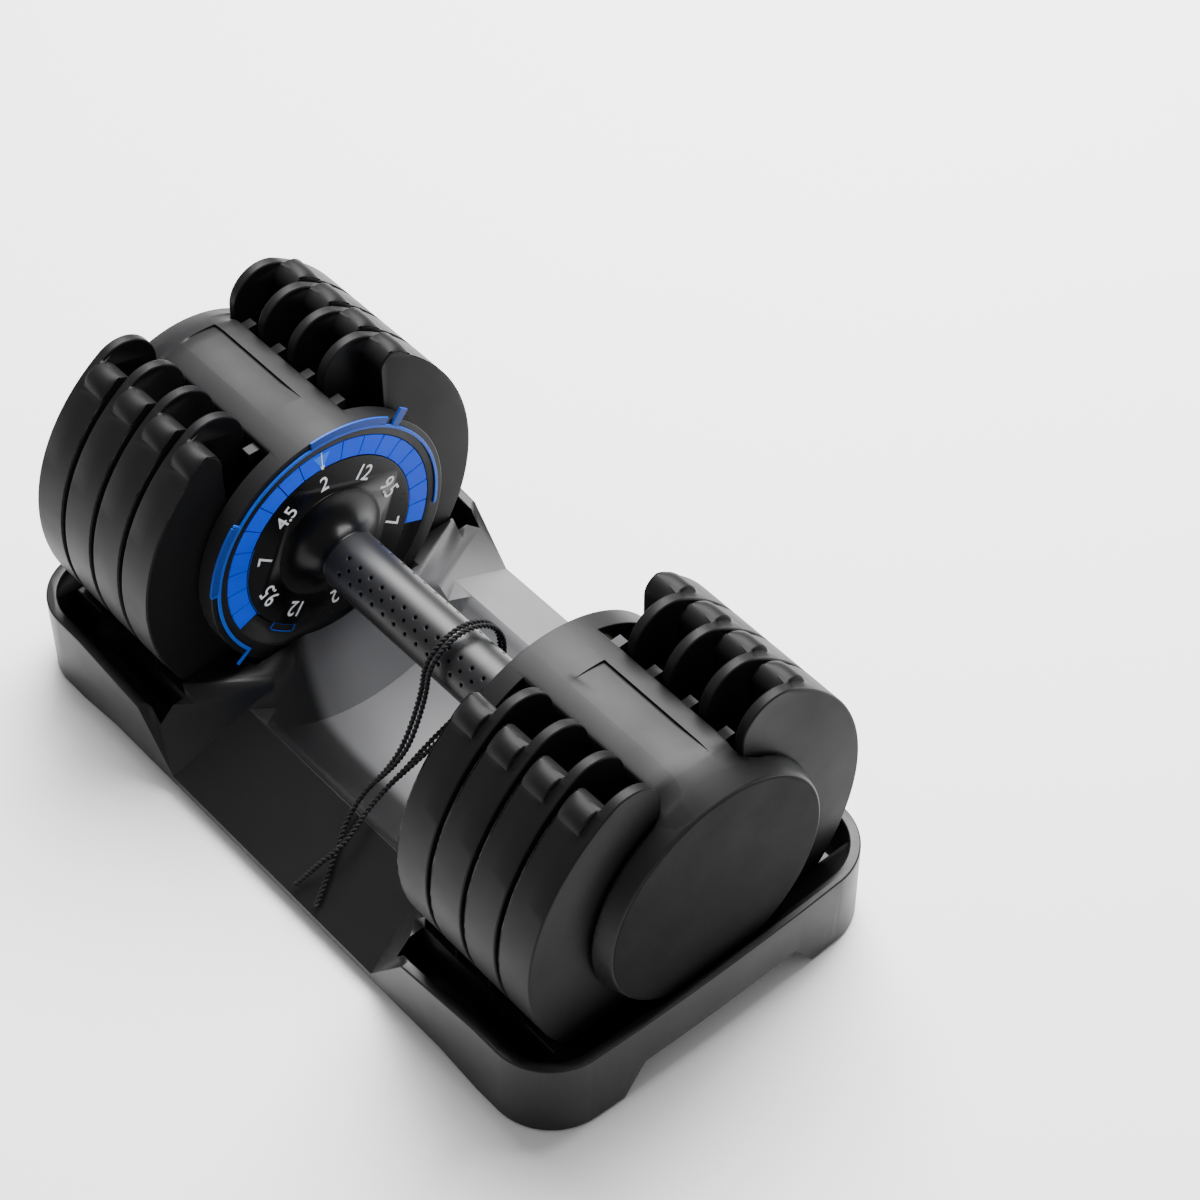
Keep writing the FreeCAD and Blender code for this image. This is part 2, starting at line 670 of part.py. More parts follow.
def handle_shaft():
    """Steel shaft through both heads, with drive flats where discs and wheels sit."""
    shaft = rod("ShaftRod", "shaft_radius", "-(shaft_end)", "2 * shaft_end")
    flats = []
    for side, start in (("Near", "flange_back - lock_pocket + lock_thick"), ("Far", "-(cap_in - 1)")):
        length = "cap_in - 1 - (flange_back - lock_pocket + lock_thick)"
        for edge, z in (("Top", "axis_height + shaft_flat"), ("Low", "axis_height - shaft_flat - 4")):
            flats.append(strip(f"ShaftFlat{side}{edge}", start, z, length, "shaft_radius", "4"))
    return cut("Shaft", shaft, *flats)


def lock_wheel():
    """Wheel with a notch for every setting."""
    x = "wheel_front"
    notches = [
        spoke(f"Notch{step}", 90 + step * number("click_angle"), "wheel_radius - notch_deep",
              "wheel_radius + 1", "notch_width", x, "wheel_thick")
        for step in range(round(360 / number("click_angle")))
    ]
    wheel = rod("WheelDisc", "wheel_radius", x, "wheel_thick")
    return cut("Wheel", wheel, drive_bore("WheelBore", x, "wheel_thick"), *notches)


def selector_disc(index):
    """Disc whose rim carries a plate's lug, but is open at the settings that leave the plate.

    The rim is open at the bottom for the first index + 1 settings, and again half a turn on.
    """
    name = f"Selector{index + 1}"
    web_face = f"(plates_in + {index} * pitch + plate_thick - web_thick)"
    rim_x = f"{web_face} - rim_clear - rim_reach"
    disc_x = f"{rim_x} - disc_thick"
    gap = number("rim_gap_angle")
    gaps = []
    for setting in range(index + 1):
        for half in (0, 180):
            start = 270 + setting * number("click_angle") + half - gap / 2
            gaps.append(sector(f"{name}Gap{setting}x{half}", "rim_radius + 1", start, gap, rim_x, "rim_reach"))
    rim = cut(name + "Rim", rod(name + "RimOut", "rim_radius", rim_x, "rim_reach"),
              rod(name + "RimIn", "rim_radius - rim_wall", rim_x, "rim_reach"), *gaps)
    disc = rod(name + "Disc", "rim_radius", disc_x, "disc_thick")
    return cut(name, fuse(name + "Solid", disc, rim), drive_bore(name + "Bore", disc_x, "disc_thick"))


def disc_spacers():
    """Tubes that keep wheel, discs and end bush apart on the shaft."""
    count = int(number("plate_count"))
    first_disc = "plates_in + plate_thick - web_thick - rim_clear - rim_reach - disc_thick"
    runs = [("flange_back - wheel_gap", f"{first_disc} - flange_back + wheel_gap")]
    for index in range(count - 1):
        runs.append((f"{first_disc} + {index} * pitch + disc_thick", "pitch - disc_thick"))
    last = f"({first_disc} + {count - 1} * pitch + disc_thick)"
    runs.append((last, f"cap_in - 0.1 - {last}"))
    tubes = []
    for index, (x, length) in enumerate(runs):
        tubes.append(cut(f"Spacer{index}", rod(f"SpacerOut{index}", "spacer_radius", x, length),
                         rod(f"SpacerIn{index}", "bore_radius", x, length)))
    return group("Spacers", *tubes)


def ring(name, outer, inner, x, length):
    """A plain ring round the handle's axis."""
    return cut(name, rod(name + "Out", outer, x, length), rod(name + "In", inner, x, length))


def pair(name, item):
    """A near piece and its far copy in one node."""
    return group(name, item, mirrored(name + "Far", item))


def end_nut():
    """Hexagon nut on the shaft's end."""
    x = "cap_in + end_plate_thick + washer_thick"
    prism = bind(new("Part::Prism", "NutPrism"), Circumradius="nut_radius", Height="nut_thick")
    prism.Polygon = 6
    place(prism, x, "0", "axis_height", TURN_TO_X)
    return cut("Nut", prism, rod("NutBore", "bore_radius", x, "nut_thick"))


both("number_dial", number_dial())
node("grip_sleeve", ring("Grip", "grip_radius", "bore_radius", "-(grip_half)", "2 * grip_half"))
node("handle_shaft", handle_shaft())
both("lock_wheel", lock_wheel())
for index in range(int(number("plate_count"))):
    disc = selector_disc(index)
    node(f"selector_near_{index + 1}", disc)
    node(f"selector_far_{index + 1}", mirrored(disc.Name + "Far", disc))
both("disc_spacers", disc_spacers())
node("end_washers", pair("Washers", ring("Washer", "washer_radius", "bore_radius",
                                         "cap_in + end_plate_thick", "washer_thick")))
node("end_nuts", pair("Nuts", end_nut()))
node("flange_bushes", pair("FlangeBushes", ring("FlangeBush", "spacer_radius - 0.02", "bore_radius",
                                                "head_start + dial_seat",
                                                "flange_thick - dial_seat - wheel_thick - wheel_gap - 0.2")))
node("end_bushes", pair("EndBushes", ring("EndBush", "spacer_radius - 0.02", "bore_radius", "cap_in",
                                          "end_plate_thick - 0.1")))


# ---------------------------------------------------------------- lock slider and click plunger
def lock_slider():
    """Steel slider: the tray's post holds its tooth clear of the wheel until the dumbbell rises."""
    name = "Slider"
    x = "pocket_front + 0.1"
    plate = strip(name + "Plate", x, "axis_height - lock_plate_low", "lock_thick", "lock_half",
                  "lock_plate_low + lock_top")
    foot = strip(name + "Foot", x, "axis_height - lock_foot", "lock_thick", "lock_foot_half",
                 "lock_foot - lock_plate_low + 2")
    window = strip(name + "Window", x, "axis_height - spacer_radius - lock_lift", "lock_thick",
                   "spacer_radius + lock_fit", "2 * spacer_radius + lock_travel + 2 * lock_lift")
    tooth = strip(name + "Tooth", x, "axis_height + wheel_radius + lock_lift",
                  "lock_pocket - 0.2", "notch_width / 2 - 0.3", "lock_top - wheel_radius - lock_lift")
    return fuse(name, cut(name + "Frame", fuse(name + "Blank", plate, foot), window), tooth)


def coil(radius, wire, length, turns):
    """A closed coil of round wire that stands on the origin, along +Z."""
    rise = length - wire
    helix = Part.makeHelix(rise / turns, rise, radius)
    start = FreeCAD.Vector(radius, 0, 0)
    section = Part.Wire(Part.makeCircle(wire / 2, start, FreeCAD.Vector(0, 1, 0)))
    sweep = Part.Wire(helix).makePipeShell([section], True, True)
    return sweep


def spring(name, radius, wire, length, turns, placement):
    """A coil spring as a feature of its own."""
    item = new("Part::Feature", name)
    item.Shape = coil(radius, wire, length, turns)
    item.Placement = placement
    return item


def lock_spring():
    """Spring between the slider's tooth and the top of its channel."""
    gap, wire = 0.1, number("spring_wire")
    length = number("lock_ceiling - lock_top") - 2 * gap
    x = number("pocket_middle")
    foot = number("axis_height + lock_top") + gap + wire / 2
    spot = FreeCAD.Placement(FreeCAD.Vector(x, 0, foot), FreeCAD.Rotation())
    return spring("LockSpring", number("spring_radius"), wire, length, 5, spot)


def click_parts():
    """Ball and spring in the flange that click on the lock wheel's notches."""
    tilt = math.radians(number("click_tilt"))
    out = FreeCAD.Vector(0, math.cos(tilt), math.sin(tilt))
    middle = FreeCAD.Vector(number("click_x"), 0, number("axis_height"))
    ball = bind(new("Part::Sphere", "ClickBall"), Radius="ball_radius")
    reach = "(wheel_radius + click_clear + ball_radius)"
    lean = number("click_tilt")
    place(ball, "click_x", f"{reach} * cos({lean})", f"axis_height + {reach} * sin({lean})")
    wire = number("spring_wire") - 0.1
    start = number(f"{reach} + ball_radius") + wire / 2 + 0.05
    length = number("click_bore") - start + wire / 2 - 0.1
    turn = FreeCAD.Rotation(ALONG, lean - 90)
    spot = FreeCAD.Placement(middle + out * start, turn)
    return ball, spring("ClickSpring", number("ball_radius") - 0.3, wire, length, 6, spot)


both("lock_slider", lock_slider())
both("lock_spring", lock_spring())
click_ball, click_spring = click_parts()
node("click_balls", pair("ClickBalls", click_ball))
node("click_springs", pair("ClickSprings", click_spring))


# ---------------------------------------------------------------- tray
def box_between(low, high):
    """A box between two corners."""
    size = [b - a for a, b in zip(low, high)]
    return Part.makeBox(*size, FreeCAD.Vector(*low))


def prism(points, reach):
    """Extrude a closed flat outline by a vector."""
    spots = [FreeCAD.Vector(*point) for point in points]
    return Part.Face(Part.makePolygon(spots + spots[:1])).extrude(FreeCAD.Vector(*reach))


def four_ways(shape):
    """A shape and its mirror images in x = 0 and y = 0."""
    across = shape.mirror(FreeCAD.Vector(), FreeCAD.Vector(0, 1, 0))
    halves = [shape, across]
    return halves + [half.mirror(FreeCAD.Vector(), ALONG) for half in halves]


def two_ways(shape):
    """A shape and its mirror image in x = 0."""
    return [shape, shape.mirror(FreeCAD.Vector(), ALONG)]


def tray_plan(height, inset):
    """Upright block with the tray's plan: straight sides, bowed ends and round corners."""
    half_length = number("tray_length") / 2 - inset
    half_width = number("tray_width") / 2 - inset
    bow = number("end_bow")
    low = FreeCAD.Vector(half_length - bow, -half_width, 0)
    high = FreeCAD.Vector(half_length - bow, half_width, 0)
    near_end = Part.Arc(low, FreeCAD.Vector(half_length, 0, 0), high).toShape()
    far_end = Part.Arc(-low, FreeCAD.Vector(-half_length, 0, 0), -high).toShape()
    sides = [Part.makeLine(high, -low), Part.makeLine(-high, low)]
    plan = Part.Face(Part.Wire([near_end, sides[0], far_end, sides[1]])).extrude(UP * height)
    corners = [edge for edge in plan.Edges
               if abs(edge.Vertexes[0].X - edge.Vertexes[-1].X) < 1e-6
               and abs(edge.Vertexes[0].Y - edge.Vertexes[-1].Y) < 1e-6]
    return plan.makeFillet(number("corner_round") - inset, corners)


def valley(margin):
    """The space round the handle: a cylinder on its axis that narrows towards the heads."""
    radius = number("valley_radius") + margin
    straight, end = number("valley_straight"), number("valley_end")
    axis = FreeCAD.Vector(0, 0, number("axis_height"))
    deck = number("axis_height - deck_height") + margin
    middle = Part.makeCylinder(radius, 2 * straight, axis - ALONG * straight, ALONG)
    near = Part.makeCone(radius, deck, end - straight, axis + ALONG * straight, ALONG)
    return middle.multiFuse(two_ways(near))


def end_block():
    """One raised end, cut back by the slanted faces that run down to the low middle."""
    lip, deck = number("lip_height"), number("deck_height")
    half_width, rack = number("tray_width") / 2, number("rack_half")
    straight, rack_end = number("valley_straight"), number("plates_out + groove_gap")
    block_all = tray_plan(lip, 0).common(box_between((straight, -200, 0), (300, 200, 100)))
    rack_block = box_between((straight, -rack, 0), (rack_end, rack, deck))
    shoulder_top = number("shoulder_height")
    edge = FreeCAD.Vector(number("middle_half"), -half_width, number("middle_edge"))
    ridge = FreeCAD.Vector(number("ridge_end"), -number("ridge_half"), number("ridge_height"))
    shoulder = FreeCAD.Vector(number("shoulder_half"), -half_width, shoulder_top)
    away = (shoulder - edge).cross(ridge - edge)
    away = away * (-1 if away.x > 0 else 1)
    waste = Part.makeBox(400, 400, 400, FreeCAD.Vector(-200, -200, 0))
    waste.Placement = FreeCAD.Placement(edge, FreeCAD.Rotation(UP, away))
    side = -half_width - 1
    lip_start = number("lip_start")
    drop = prism([(0, side, lip + 20), (lip_start + 20, side, lip + 20), (lip_start + 20, side, lip),
                  (lip_start, side, lip), (shoulder.x, side, shoulder_top), (0, side, shoulder_top)],
                 (0, half_width + 1 - rack, 0))
    tools = [waste, drop]
    tools += [tool.mirror(FreeCAD.Vector(), FreeCAD.Vector(0, 1, 0)) for tool in tools]
    return block_all.fuse(rack_block).cut(tools)


def low_middle():
    """Low middle: side panels that rise to a ridge beside the valley."""
    half_width, reach = number("tray_width") / 2, number("shoulder_half")
    edge, ridge, top = number("middle_edge"), number("ridge_half"), number("ridge_height")
    points = [(-reach, -half_width, 0), (-reach, -half_width, edge), (-reach, -ridge, top),
              (-reach, ridge, top), (-reach, half_width, edge), (-reach, half_width, 0)]
    return prism(points, (2 * reach, 0, 0))


def upper_hollows(grow):
    """What the tray's top is open for, each grown all round by a margin."""
    axis = FreeCAD.Vector(0, 0, number("axis_height"))
    rack, wall_line = number("rack_half") + grow, number("tray_width") / 2 - number("lip_width") + grow
    rack_end = number("plates_out + groove_gap") + grow
    hollows = [valley(grow)]
    floor = axis.z - number("plate_flat + seat_gap") - grow
    for index in range(int(number("plate_count"))):
        low = number(f"plates_in + {index} * pitch - groove_gap") - grow
        high = low + number("plate_thick + 2 * groove_gap") + 2 * grow
        hollows += two_ways(box_between((low, -rack, floor), (high, rack, 100)))
    inner_plan = tray_plan(120, number("lip_width") - grow)
    trough = box_between((number("flange_back") - grow, -wall_line, number("trough_floor") - grow),
                         (rack_end, -number("rack_half") + grow, 100))
    hollows += four_ways(trough.common(inner_plan))
    end_room = box_between((rack_end - 2 * grow, -wall_line, number("end_floor") - grow),
                           (number("tray_length"), wall_line, 100))
    hollows += two_ways(end_room.common(inner_plan))
    clear = number("casing_clear")
    cap_well = Part.makeCylinder(number("cap_radius") + clear + grow,
                                 number("cap_thick + cap_gap") + clear + 2 * grow,
                                 axis + ALONG * (rack_end - 2 * grow), ALONG)
    flange_well = Part.makeCylinder(number("flange_radius + flange_clear") + grow,
                                    number("flange_thick + flange_gap") + clear + 2 * grow,
                                    axis + ALONG * (number("head_start") - clear - grow), ALONG)
    return hollows + two_ways(cap_well) + two_ways(flange_well)


def underside():
    """What is cut away below: the step up between the feet and the arch in each end wall."""
    sole, high = number("sole_low"), number("sole_high")
    foot, foot_end = number("foot_start"), number("foot_end")
    step = prism([(-foot, -150, sole), (foot, -150, sole), (foot_end, -150, high), (-foot_end, -150, high)],
                 (0, 300, 0))
    low, top, rise = number("arch_half"), number("arch_top_half"), number("arch_height")
    arch = prism([(150, -low, -1), (150, -low, sole), (150, -top, rise),
                  (150, top, rise), (150, low, sole), (150, low, -1)], (100, 0, 0))
    return [box_between((-250, -150, -1), (250, 150, sole)), step] + two_ways(arch)


def tray_shell():
    """One hollow moulding with two raised ends, a deck with grooves and a valley for the hand."""
    wall = number("tray_wall")
    outside = low_middle().fuse(two_ways(end_block())).common(tray_plan(100, 0))
    cavity = outside.translated(FreeCAD.Vector(0, 0, -wall * 1.4))
    inner_plan = tray_plan(100, wall).translated(FreeCAD.Vector(0, 0, -20))
    cavity = cavity.common(inner_plan).cut(upper_hollows(wall))
    body = outside.cut(upper_hollows(0)).cut([cavity])
    posts = box_between((number("pocket_front") - 0.4, -number("lock_foot_half") + 1,
                         number("axis_height - flange_radius - flange_clear") - wall / 2),
                        (number("pocket_front + lock_thick") + 0.6, number("lock_foot_half") - 1,
                         number("post_top")))
    boss = Part.makeCylinder(number("pad_boss"), number("trough_floor") - wall / 2,
                             FreeCAD.Vector(number("pad_x"), number("pad_y"), 0))
    body = body.fuse(two_ways(posts) + four_ways(boss)).cut(underside()).removeSplitter()
    item = new("Part::Feature", "Tray")
    item.Shape = body.Solids[0] if len(body.Solids) == 1 else body
    return item


def rubber_feet():
    """Four rubber pads under the corners of the tray."""
    pads = []
    for index, (x, y) in enumerate(((1, 1), (1, -1), (-1, 1), (-1, -1))):
        pads.append(post(f"Pad{index}", "pad_radius", f"{x} * pad_x", f"{y} * pad_y", "0", "pad_thick"))
    return group("Pads", *pads)


def tray_with_sockets(feet):
    """The tray with blind sockets for the rubber pads."""
    sockets = [post(f"Socket{index}", "pad_radius", pad.Placement.Base.x, pad.Placement.Base.y, "0", "pad_thick")
               for index, pad in enumerate(feet.Links)]
    return cut("TrayShell", tray_shell(), *sockets)


feet = node("rubber_feet", rubber_feet())
DOC.recompute()
node("tray_shell", tray_with_sockets(feet))

# ---------------------------------------------------------------- hang cord
# The cord's route, from one tail on the tray's side panel, up and over the grip, back under it
# and over its own first tail to the other tail: x, y, z.
CORD_ROUTE = [
    (30.6, -95.6, 13.0),
    (28.0, -89.6, 17.2),
    (24.8, -83.2, 21.6),
    (21.4, -76.6, 26.1),
    (17.8, -69.4, 31.4),
    (15.4, -61.0, 39.4),
    (16.6, -53.0, 48.0),
    (20.6, -45.6, 57.0),
    (22.2, -37.4, 68.0),
    (20.2, -28.6, 80.0),
    (17.6, -21.6, 91.0),
    (16.8, -19.4, 102.0),
    (17.0, -10.8, 111.4),
    (17.6, 1.6, 114.6),
    (18.6, 13.2, 110.0),
    (19.6, 19.8, 99.2),
    (20.6, 19.6, 87.0),
    (22.0, 12.0, 76.8),
    (24.0, 0.0, 72.4),
    (25.6, -13.0, 69.4),
    (25.6, -26.0, 64.6),
    (25.2, -37.6, 57.6),
    (23.4, -48.0, 49.8),
    (22.6, -57.2, 43.6),
    (24.0, -65.2, 38.9),
    (25.6, -72.4, 36.0),
    (24.6, -78.8, 31.8),
    (22.0, -84.8, 27.0),
    (18.6, -90.4, 19.6),
    (15.6, -95.6, 13.6),
]


def tube_along(points, radius):
    """A tube whose straight runs are joined by tangent arcs as large as the runs allow."""
    spots = [FreeCAD.Vector(*point) for point in points]
    edges, start, radii = [], spots[0], []
    for before, spot, after in zip(spots, spots[1:], spots[2:]):
        one, two = before - spot, after - spot
        turn = math.pi - one.getAngle(two)
        trim = 0.45 * min(one.Length, two.Length)
        radii.append(trim / math.tan(turn / 2))
        one.normalize()
        two.normalize()
        middle_way = one + two
        middle_way.normalize()
        depth = radii[-1] / math.cos(turn / 2) - radii[-1]
        enter, leave = spot + one * trim, spot + two * trim
        edges.append(Part.LineSegment(start, enter).toShape())
        edges.append(Part.Arc(enter, spot + middle_way * depth, leave).toShape())
        start = leave
    edges.append(Part.LineSegment(start, spots[-1]).toShape())
    path = Part.Wire(edges)
    section = Part.Wire(Part.makeCircle(radius, spots[0], spots[1] - spots[0]))
    return path.makePipeShell([section], True, False), path.Length, radii


cord = new("Part::Feature", "HangCord")
cord.Shape, cord_length, cord_radii = tube_along(CORD_ROUTE, number("cord_diameter") / 2)
node("hang_cord", cord)

# ---------------------------------------------------------------- check and write
DOC.recompute()
for item in DOC.Objects:
    if {"Invalid", "Error"} & set(item.State):
        raise RuntimeError(f"{item.Name} did not build: {item.State}")
for item in NODES:
    if item.Shape.isNull() or not item.Shape.isValid():
        raise RuntimeError(f"{item.Label} has no valid shape")
    if not item.Shape.Solids:
        raise RuntimeError(f"{item.Label} holds no solid")

os.makedirs("parts", exist_ok=True)
for item in NODES:
    item.Shape.exportStep(f"parts/{item.Label}.step")
    box = item.Shape.BoundBox
    print(f"{item.Label:18s} {len(item.Shape.Solids)} solids {item.Shape.Volume / 1000:8.2f} cm3 "
          f"x {box.XMin:.1f}..{box.XMax:.1f} y {box.YMin:.1f}..{box.YMax:.1f} z {box.ZMin:.1f}..{box.ZMax:.1f}")
section = math.pi * (number("cord_diameter") / 2) ** 2
print(f"cord length {cord_length:.1f}, volume ratio {cord.Shape.Volume / (section * cord_length):.4f}")
print("cord radii", ", ".join(f"{radius:.1f}" for radius in cord_radii))
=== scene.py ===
"""Looks for an adjustable dumbbell that rests in its storage tray.

Lengths are in metres in the frame of the CAD part: +X runs along the handle, +Y across it and +Z up
from the ground. The head on the +X side is called near and the one on the -X side far.
"""

import logging
import math
from collections.abc import Iterable
from dataclasses import dataclass
from enum import Enum

import bmesh
import bpy
from mathutils import Matrix, Vector
from mathutils.kdtree import KDTree


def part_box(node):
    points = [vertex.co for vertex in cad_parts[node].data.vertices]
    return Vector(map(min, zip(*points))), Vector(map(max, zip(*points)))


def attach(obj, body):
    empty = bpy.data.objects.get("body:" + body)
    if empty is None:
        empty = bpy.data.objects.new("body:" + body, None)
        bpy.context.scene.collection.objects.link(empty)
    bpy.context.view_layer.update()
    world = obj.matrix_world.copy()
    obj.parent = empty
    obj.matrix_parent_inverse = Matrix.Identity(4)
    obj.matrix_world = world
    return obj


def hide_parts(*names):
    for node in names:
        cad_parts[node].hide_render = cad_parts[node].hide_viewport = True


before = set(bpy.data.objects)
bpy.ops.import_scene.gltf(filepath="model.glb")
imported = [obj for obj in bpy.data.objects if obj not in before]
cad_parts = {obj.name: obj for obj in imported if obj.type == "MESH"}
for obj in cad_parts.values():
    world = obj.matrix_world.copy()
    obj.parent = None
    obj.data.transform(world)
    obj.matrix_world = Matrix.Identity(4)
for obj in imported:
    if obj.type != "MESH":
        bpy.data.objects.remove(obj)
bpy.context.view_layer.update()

LOG = logging.getLogger("dumbbell")
MM = 0.001
AXIS = 94.0 * MM
Bmesh = bmesh.types.BMesh
Edge = bmesh.types.BMEdge
Shape = bpy.types.Object
Tree = bpy.types.NodeTree
Node = bpy.types.Node
Socket = bpy.types.NodeSocket
Material = bpy.types.Material
Mesh = bpy.types.Mesh


class Head(Enum):
    """One of the two heads, with its side of the handle's middle."""

    NEAR = 1
    FAR = -1

    @property
    def label(self) -> str:
        """The head's name as the CAD nodes have it.

        Returns:
            near or far.
        """
        return self.name.lower()


# ------------------------------------------------------------------ materials
def linear(colour: str, alpha: float = 1.0) -> tuple[float, float, float, float]:
    """Turn an sRGB hex colour into linear values.

    Args:
        colour: six hex digits after a hash.
        alpha: the fourth value.

    Returns:
        The red, green, blue and alpha values that a shader socket takes.
    """
    parts = [int(colour[i:i + 2], 16) / 255 for i in (1, 3, 5)]
    red, green, blue = (part / 12.92 if part <= 0.04045 else ((part + 0.055) / 1.055) ** 2.4
                        for part in parts)
    return red, green, blue, alpha


def add(tree: Tree, kind: str, inputs: dict | None = None, **settings) -> Node:
    """Add a node to a tree.

    Args:
        tree: the material's node tree.
        kind: the node's type without its ShaderNode prefix.
        inputs: a value, or another node's output, for each input socket.
        **settings: the node's own settings.

    Returns:
        The new node.
    """
    node = tree.nodes.new("ShaderNode" + kind)
    for name, value in settings.items():
        setattr(node, name, value)
    for name, value in (inputs or {}).items():
        if isinstance(value, Socket):
            tree.links.new(value, node.inputs[name])
        else:
            node.inputs[name].default_value = value
    return node


def begin(name: str) -> tuple[Material, Tree, Node, Socket]:
    """Start a material.

    Args:
        name: the material's name.

    Returns:
        The material, its tree, its shader and the socket of its Object coordinates.
    """
    material = bpy.data.materials.new(name)
    material.use_nodes = True
    tree = material.node_tree
    shader = tree.nodes["Principled BSDF"]
    place = add(tree, "TexCoord").outputs["Object"]
    return material, tree, shader, place


def grain_bump(tree: Tree, place: Socket, size: float, depth: float,
               stretch: tuple[float, float, float] = (1, 1, 1)) -> Socket:
    """Bump from a noise whose bumps are a real size apart.

    Args:
        tree: the material's node tree.
        place: the coordinates that the noise reads.
        size: the bumps' spacing in metres.
        depth: the bumps' height in metres.
        stretch: how much closer the bumps stand along each axis.

    Returns:
        The normal for a shader.
    """
    mapped = add(tree, "Mapping", {"Vector": place, "Scale": stretch}).outputs["Vector"]
    noise = add(tree, "TexNoise", {"Vector": mapped, "Scale": 1 / size, "Detail": 3.0,
                                   "Roughness": 0.6})
    bump = add(tree, "Bump", {"Height": noise.outputs["Fac"], "Distance": depth, "Strength": 1.0})
    return bump.outputs["Normal"]


def drift(tree: Tree, place: Socket, size: float, low: float, high: float) -> Socket:
    """Make a value that drifts slowly over the surface.

    Args:
        tree: the material's node tree.
        place: the coordinates that the noise reads.
        size: how far apart its patches are, in metres.
        low: its least value.
        high: its greatest value.

    Returns:
        The value's socket.
    """
    noise = add(tree, "TexNoise", {"Vector": place, "Scale": 1 / size, "Detail": 4.0,
                                   "Roughness": 0.55})
    return add(tree, "MapRange", {"Value": noise.outputs["Fac"], "From Min": 0.3, "From Max": 0.7,
                                  "To Min": low, "To Max": high}).outputs["Result"]


def blend_colours(tree: Tree, factor: Socket, first: str | Socket, second: str | Socket) -> Socket:
    """Mix two colours, each a hex colour or another node's output.

    Args:
        tree: the material's node tree.
        factor: the second colour's share.
        first: the colour where the factor is 0.
        second: the colour where it is 1.

    Returns:
        The mixed colour's socket.
    """
    mix = add(tree, "Mix", {"Factor": factor}, data_type="RGBA")
    for socket, colour in ((mix.inputs[6], first), (mix.inputs[7], second)):
        if isinstance(colour, str):
            socket.default_value = linear(colour)
        else:
            tree.links.new(colour, socket)
    return mix.outputs[2]


@dataclass(frozen=True)
class MouldedPlastic:
    """Injection-moulded ABS: an even satin, with the fine spark-eroded texture of the mould."""

    name: str
    colour: str
    shade: str
    roughness: float = 0.45
    grain: float = 0.55 * MM
    depth: float = 0.02 * MM
    gleam: float = 0.14

    def material(self) -> Material:
        """Build the material.

        Returns:
            The material.
        """
        material, tree, shader, place = begin(self.name)
        tint = drift(tree, place, 60 * MM, 0.0, 1.0)
        tree.links.new(blend_colours(tree, tint, self.colour, self.shade),
                       shader.inputs["Base Color"])
        tree.links.new(drift(tree, place, 25 * MM, self.roughness - 0.04, self.roughness + 0.04),
                       shader.inputs["Roughness"])
        tree.links.new(grain_bump(tree, place, self.grain, self.depth), shader.inputs["Normal"])
        shader.inputs["IOR"].default_value = 1.53
        shader.inputs["Specular IOR Level"].default_value = self.gleam
        return material


@dataclass(frozen=True)
class GripCoat:
    """Soft-touch coat on the grip: satin, with painted shade that darkens the dimples."""

    name: str = "grip_soft_touch_coat"
    colour: str = "#161617"
    shade: str = "#121213"
    # Black of the painted shade in the dimples.
    pit: str = "#000000"

    def material(self) -> Material:
        """Build the material.

        Returns:
            The material.
        """
        material, tree, shader, place = begin(self.name)
        coat = blend_colours(tree, drift(tree, place, 40 * MM, 0.0, 1.0), self.colour, self.shade)
        # Painted shade: each dimple's depth turns the base colour towards black and takes its
        # specular away.
        deep = add(tree, "Attribute", attribute_name="pit").outputs["Fac"]
        dark = add(tree, "MapRange", {"Value": deep, "From Min": 0.05, "From Max": 0.55})
        tree.links.new(blend_colours(tree, dark.outputs["Result"], coat, self.pit),
                       shader.inputs["Base Color"])
        tree.links.new(drift(tree, place, 20 * MM, 0.34, 0.42), shader.inputs["Roughness"])
        tree.links.new(grain_bump(tree, place, 0.5 * MM, 0.012 * MM), shader.inputs["Normal"])
        gleam = add(tree, "MapRange", {"Value": deep, "From Max": 0.3, "To Min": 0.35,
                                       "To Max": 0.0})
        tree.links.new(gleam.outputs["Result"], shader.inputs["Specular IOR Level"])
        shader.inputs["IOR"].default_value = 1.5
        return material


